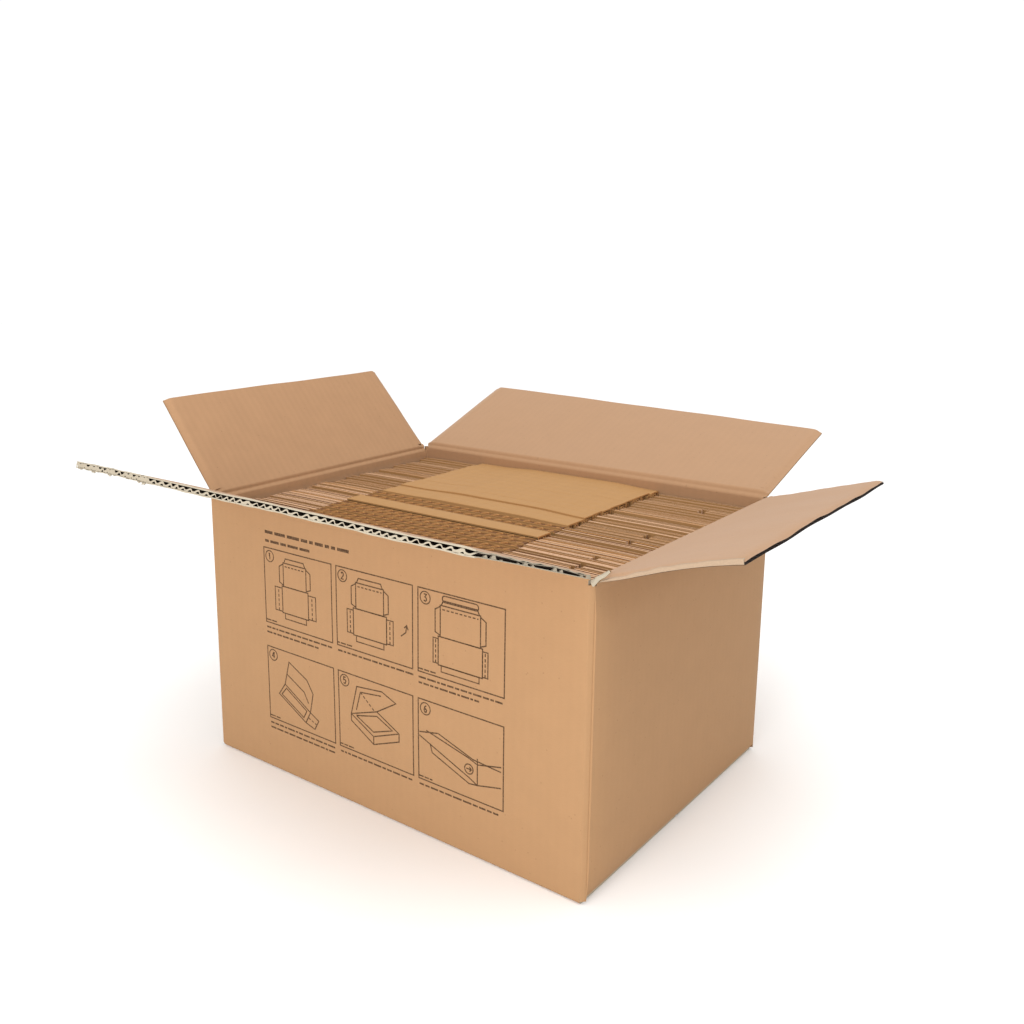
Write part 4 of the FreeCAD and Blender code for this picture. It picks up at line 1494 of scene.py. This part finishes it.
def draw_picture(plate, step):
    """One of six plain pictures of a blank being folded up."""
    if step == 0:
        draw_flat_blank(plate, (24, 52, 37, 58), (22, 54, 13), 0)
    elif step == 1:
        draw_flat_blank(plate, (22, 52, 36, 58), (19, 55, 13), 2)
        plate.stroke(((70, 24), (75, 28), (76, 34)))
        plate.stroke(((73.5, 31.5), (76, 34), (77.5, 30.5)))
    elif step == 2:
        draw_flat_blank(plate, (22, 60, 33, 58), (20, 62, 10), 4)
        plate.box(24, 61, 58, 66, 2.4)
    elif step == 3:
        plate.stroke(((13, 26), (21, 37), (52, 19), (46, 8)), closed=True)
        plate.stroke(((16.5, 26.5), (22.5, 33.5), (47.5, 19), (43.5, 12)), closed=True)
        plate.stroke(((21, 37), (27, 59), (49, 48), (56, 37), (52, 19)))
        plate.stroke(((24, 47), (45, 36), (50, 27)))
        plate.stroke(((46, 8), (57, 5), (62, 14), (52, 19)))
        plate.dashes((49.5, 13.5), (60, 9.5))
    elif step == 4:
        plate.stroke(((14, 33), (39, 20), (67, 31), (43, 43)), closed=True)
        plate.stroke(((20, 33), (39, 24), (60, 31.5), (43, 39)), closed=True)
        plate.stroke(((14, 33), (14, 27), (39, 13), (67, 24), (67, 31)))
        plate.stroke(((39, 20), (39, 13)))
        plate.stroke(((14, 33), (21, 59), (49, 62), (64, 56), (43, 43)))
        plate.stroke(((20, 38), (25, 55), (48, 58)))
        plate.dashes((25, 55), (40, 43))
    else:
        plate.stroke(((1, 40), (20, 44), (54, 33), (80, 31)))
        plate.stroke(((1, 37), (50, 17), (58, 13), (80, 18)))
        plate.stroke(((58, 35), (58, 13)))
        plate.stroke(((80, 35), (58, 30), (50, 33), (8, 43)))
        plate.stroke(((12, 33), (14, 26), (50, 12), (58, 13)))
        plate.box(46, 20, 54, 28, 3.9)
        plate.stroke(((47.5, 24), (52.5, 24)))
        plate.stroke(((50.5, 25.8), (52.5, 24), (50.5, 22.2)))


class CARTON_OT_print(bpy.types.Operator):
    """Print six numbered pictures of a blank being folded on the front wall"""

    bl_idname = "carton.print"
    bl_label = "Print"

    def execute(self, context):
        scene = context.scene
        ink = scene.carton_print
        piece = Piece()
        bars = random.Random(6)
        for step in range(6):
            left = ink.first_frame + (step % 3) * ink.frame_step
            bottom = ink.lower_row if step > 2 else ink.upper_row
            plate = Plate(piece, scene, (left, bottom))
            width, height = ink.frame_width / MM, ink.frame_height / MM
            plate.box(0, 0, width, height)
            plate.number(step)
            draw_picture(plate, step)
            # a row inside the frame, and one or two under it
            plate.text_row(bars, 0.5, 1.6, 13, 2.4)
            plate.text_row(bars, 0.5, -5.6, width - 6, 3.0)
            if step in (0, 2, 3):
                plate.text_row(bars, 0.5, -10.2, width * bars.uniform(0.6, 0.95), 3.0)
        title = Plate(piece, scene, (ink.first_frame, ink.upper_row + ink.frame_height))
        title.text_row(bars, 2, 12.2, 100, 5.4)
        title.text_row(bars, 2, 4.6, 52, 4.6)
        colours = scene.carton_colours
        material = flexo_ink("flexo_ink", colours.ink, colours.outer_liner)
        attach(piece.build("front_print", [material]), "carton")
        return {"FINISHED"}


# -------------------------------------------------------------------- stage

def add_light(name, place, aim, power, size):
    """A square soft light that faces a point."""
    light = bpy.data.lights.new(name, "AREA")
    light.energy = power
    light.size = size
    lamp = bpy.data.objects.new(name, light)
    lamp.location = place
    lamp.rotation_mode = "QUATERNION"
    lamp.rotation_quaternion = (Vector(aim) - Vector(place)).to_track_quat("-Z", "Y")
    lamp.visible_camera = False
    bpy.context.scene.collection.objects.link(lamp)


class CARTON_OT_stage(bpy.types.Operator):
    """Lay the pale floor, and set the soft light and the camera"""

    bl_idname = "carton.stage"
    bl_label = "Stage"

    def execute(self, context):
        scene = context.scene
        stage = scene.carton_stage
        half = stage.floor_size / 2
        mesh = bpy.data.meshes.new("floor")
        corners = [(-half, -half, 0), (half, -half, 0), (half, half, 0), (-half, half, 0)]
        mesh.from_pydata(corners, [], [(0, 1, 2, 3)])
        mesh.materials.append(floor_paper("studio_paper", scene.carton_colours.floor))
        floor = bpy.data.objects.new("floor", mesh)
        scene.collection.objects.link(floor)

        world = bpy.data.worlds.new("white_surround")
        world.use_nodes = True
        surround = world.node_tree.nodes["Background"].inputs
        surround["Color"].default_value = (1, 1, 1, 1)
        surround["Strength"].default_value = stage.sky
        scene.world = world

        add_light("key", stage.key_place, stage.key_aim, stage.key, stage.key_size)
        add_light("top", stage.top_place, stage.top_aim, stage.top, stage.top_size)

        lens = bpy.data.cameras.new("camera")
        lens.lens = stage.lens
        lens.shift_x, lens.shift_y = stage.shift
        camera = bpy.data.objects.new("camera", lens)
        camera.location = stage.eye
        level = math.cos(stage.pitch)
        view = Vector((
            math.sin(stage.heading) * level, math.cos(stage.heading) * level, -math.sin(stage.pitch),
        ))
        camera.rotation_mode = "QUATERNION"
        camera.rotation_quaternion = view.to_track_quat("-Z", "Y")
        scene.collection.objects.link(camera)
        scene.camera = camera
        scene.view_settings.view_transform = "Standard"
        return {"FINISHED"}


# -------------------------------------------------------------------- panel

OPERATORS = (
    CARTON_OT_walls,
    CARTON_OT_creases,
    CARTON_OT_flaps,
    CARTON_OT_blanks,
    CARTON_OT_print,
    CARTON_OT_stage,
)


class CARTON_PT_panel(bpy.types.Panel):
    """Lists the steps that build the carton"""

    bl_label = "Corrugated carton"
    bl_idname = "CARTON_PT_panel"
    bl_space_type = "VIEW_3D"
    bl_region_type = "UI"
    bl_category = "Carton"

    def draw(self, context):
        for operator in OPERATORS:
            self.layout.operator(operator.bl_idname)


def register():
    for group in SETTINGS.values():
        bpy.utils.register_class(group)
    for name, group in SETTINGS.items():
        setattr(bpy.types.Scene, name, PointerProperty(type=group))
    for operator in OPERATORS:
        bpy.utils.register_class(operator)
    bpy.utils.register_class(CARTON_PT_panel)


def unregister():
    bpy.utils.unregister_class(CARTON_PT_panel)
    for operator in reversed(OPERATORS):
        bpy.utils.unregister_class(operator)
    for name in SETTINGS:
        delattr(bpy.types.Scene, name)
    for group in reversed(SETTINGS.values()):
        bpy.utils.unregister_class(group)


def main():
    register()
    bpy.ops.carton.walls()
    bpy.ops.carton.creases()
    bpy.ops.carton.flaps()
    bpy.ops.carton.blanks()
    bpy.ops.carton.print()
    bpy.ops.carton.stage()


if __name__ == "__main__":
    main()
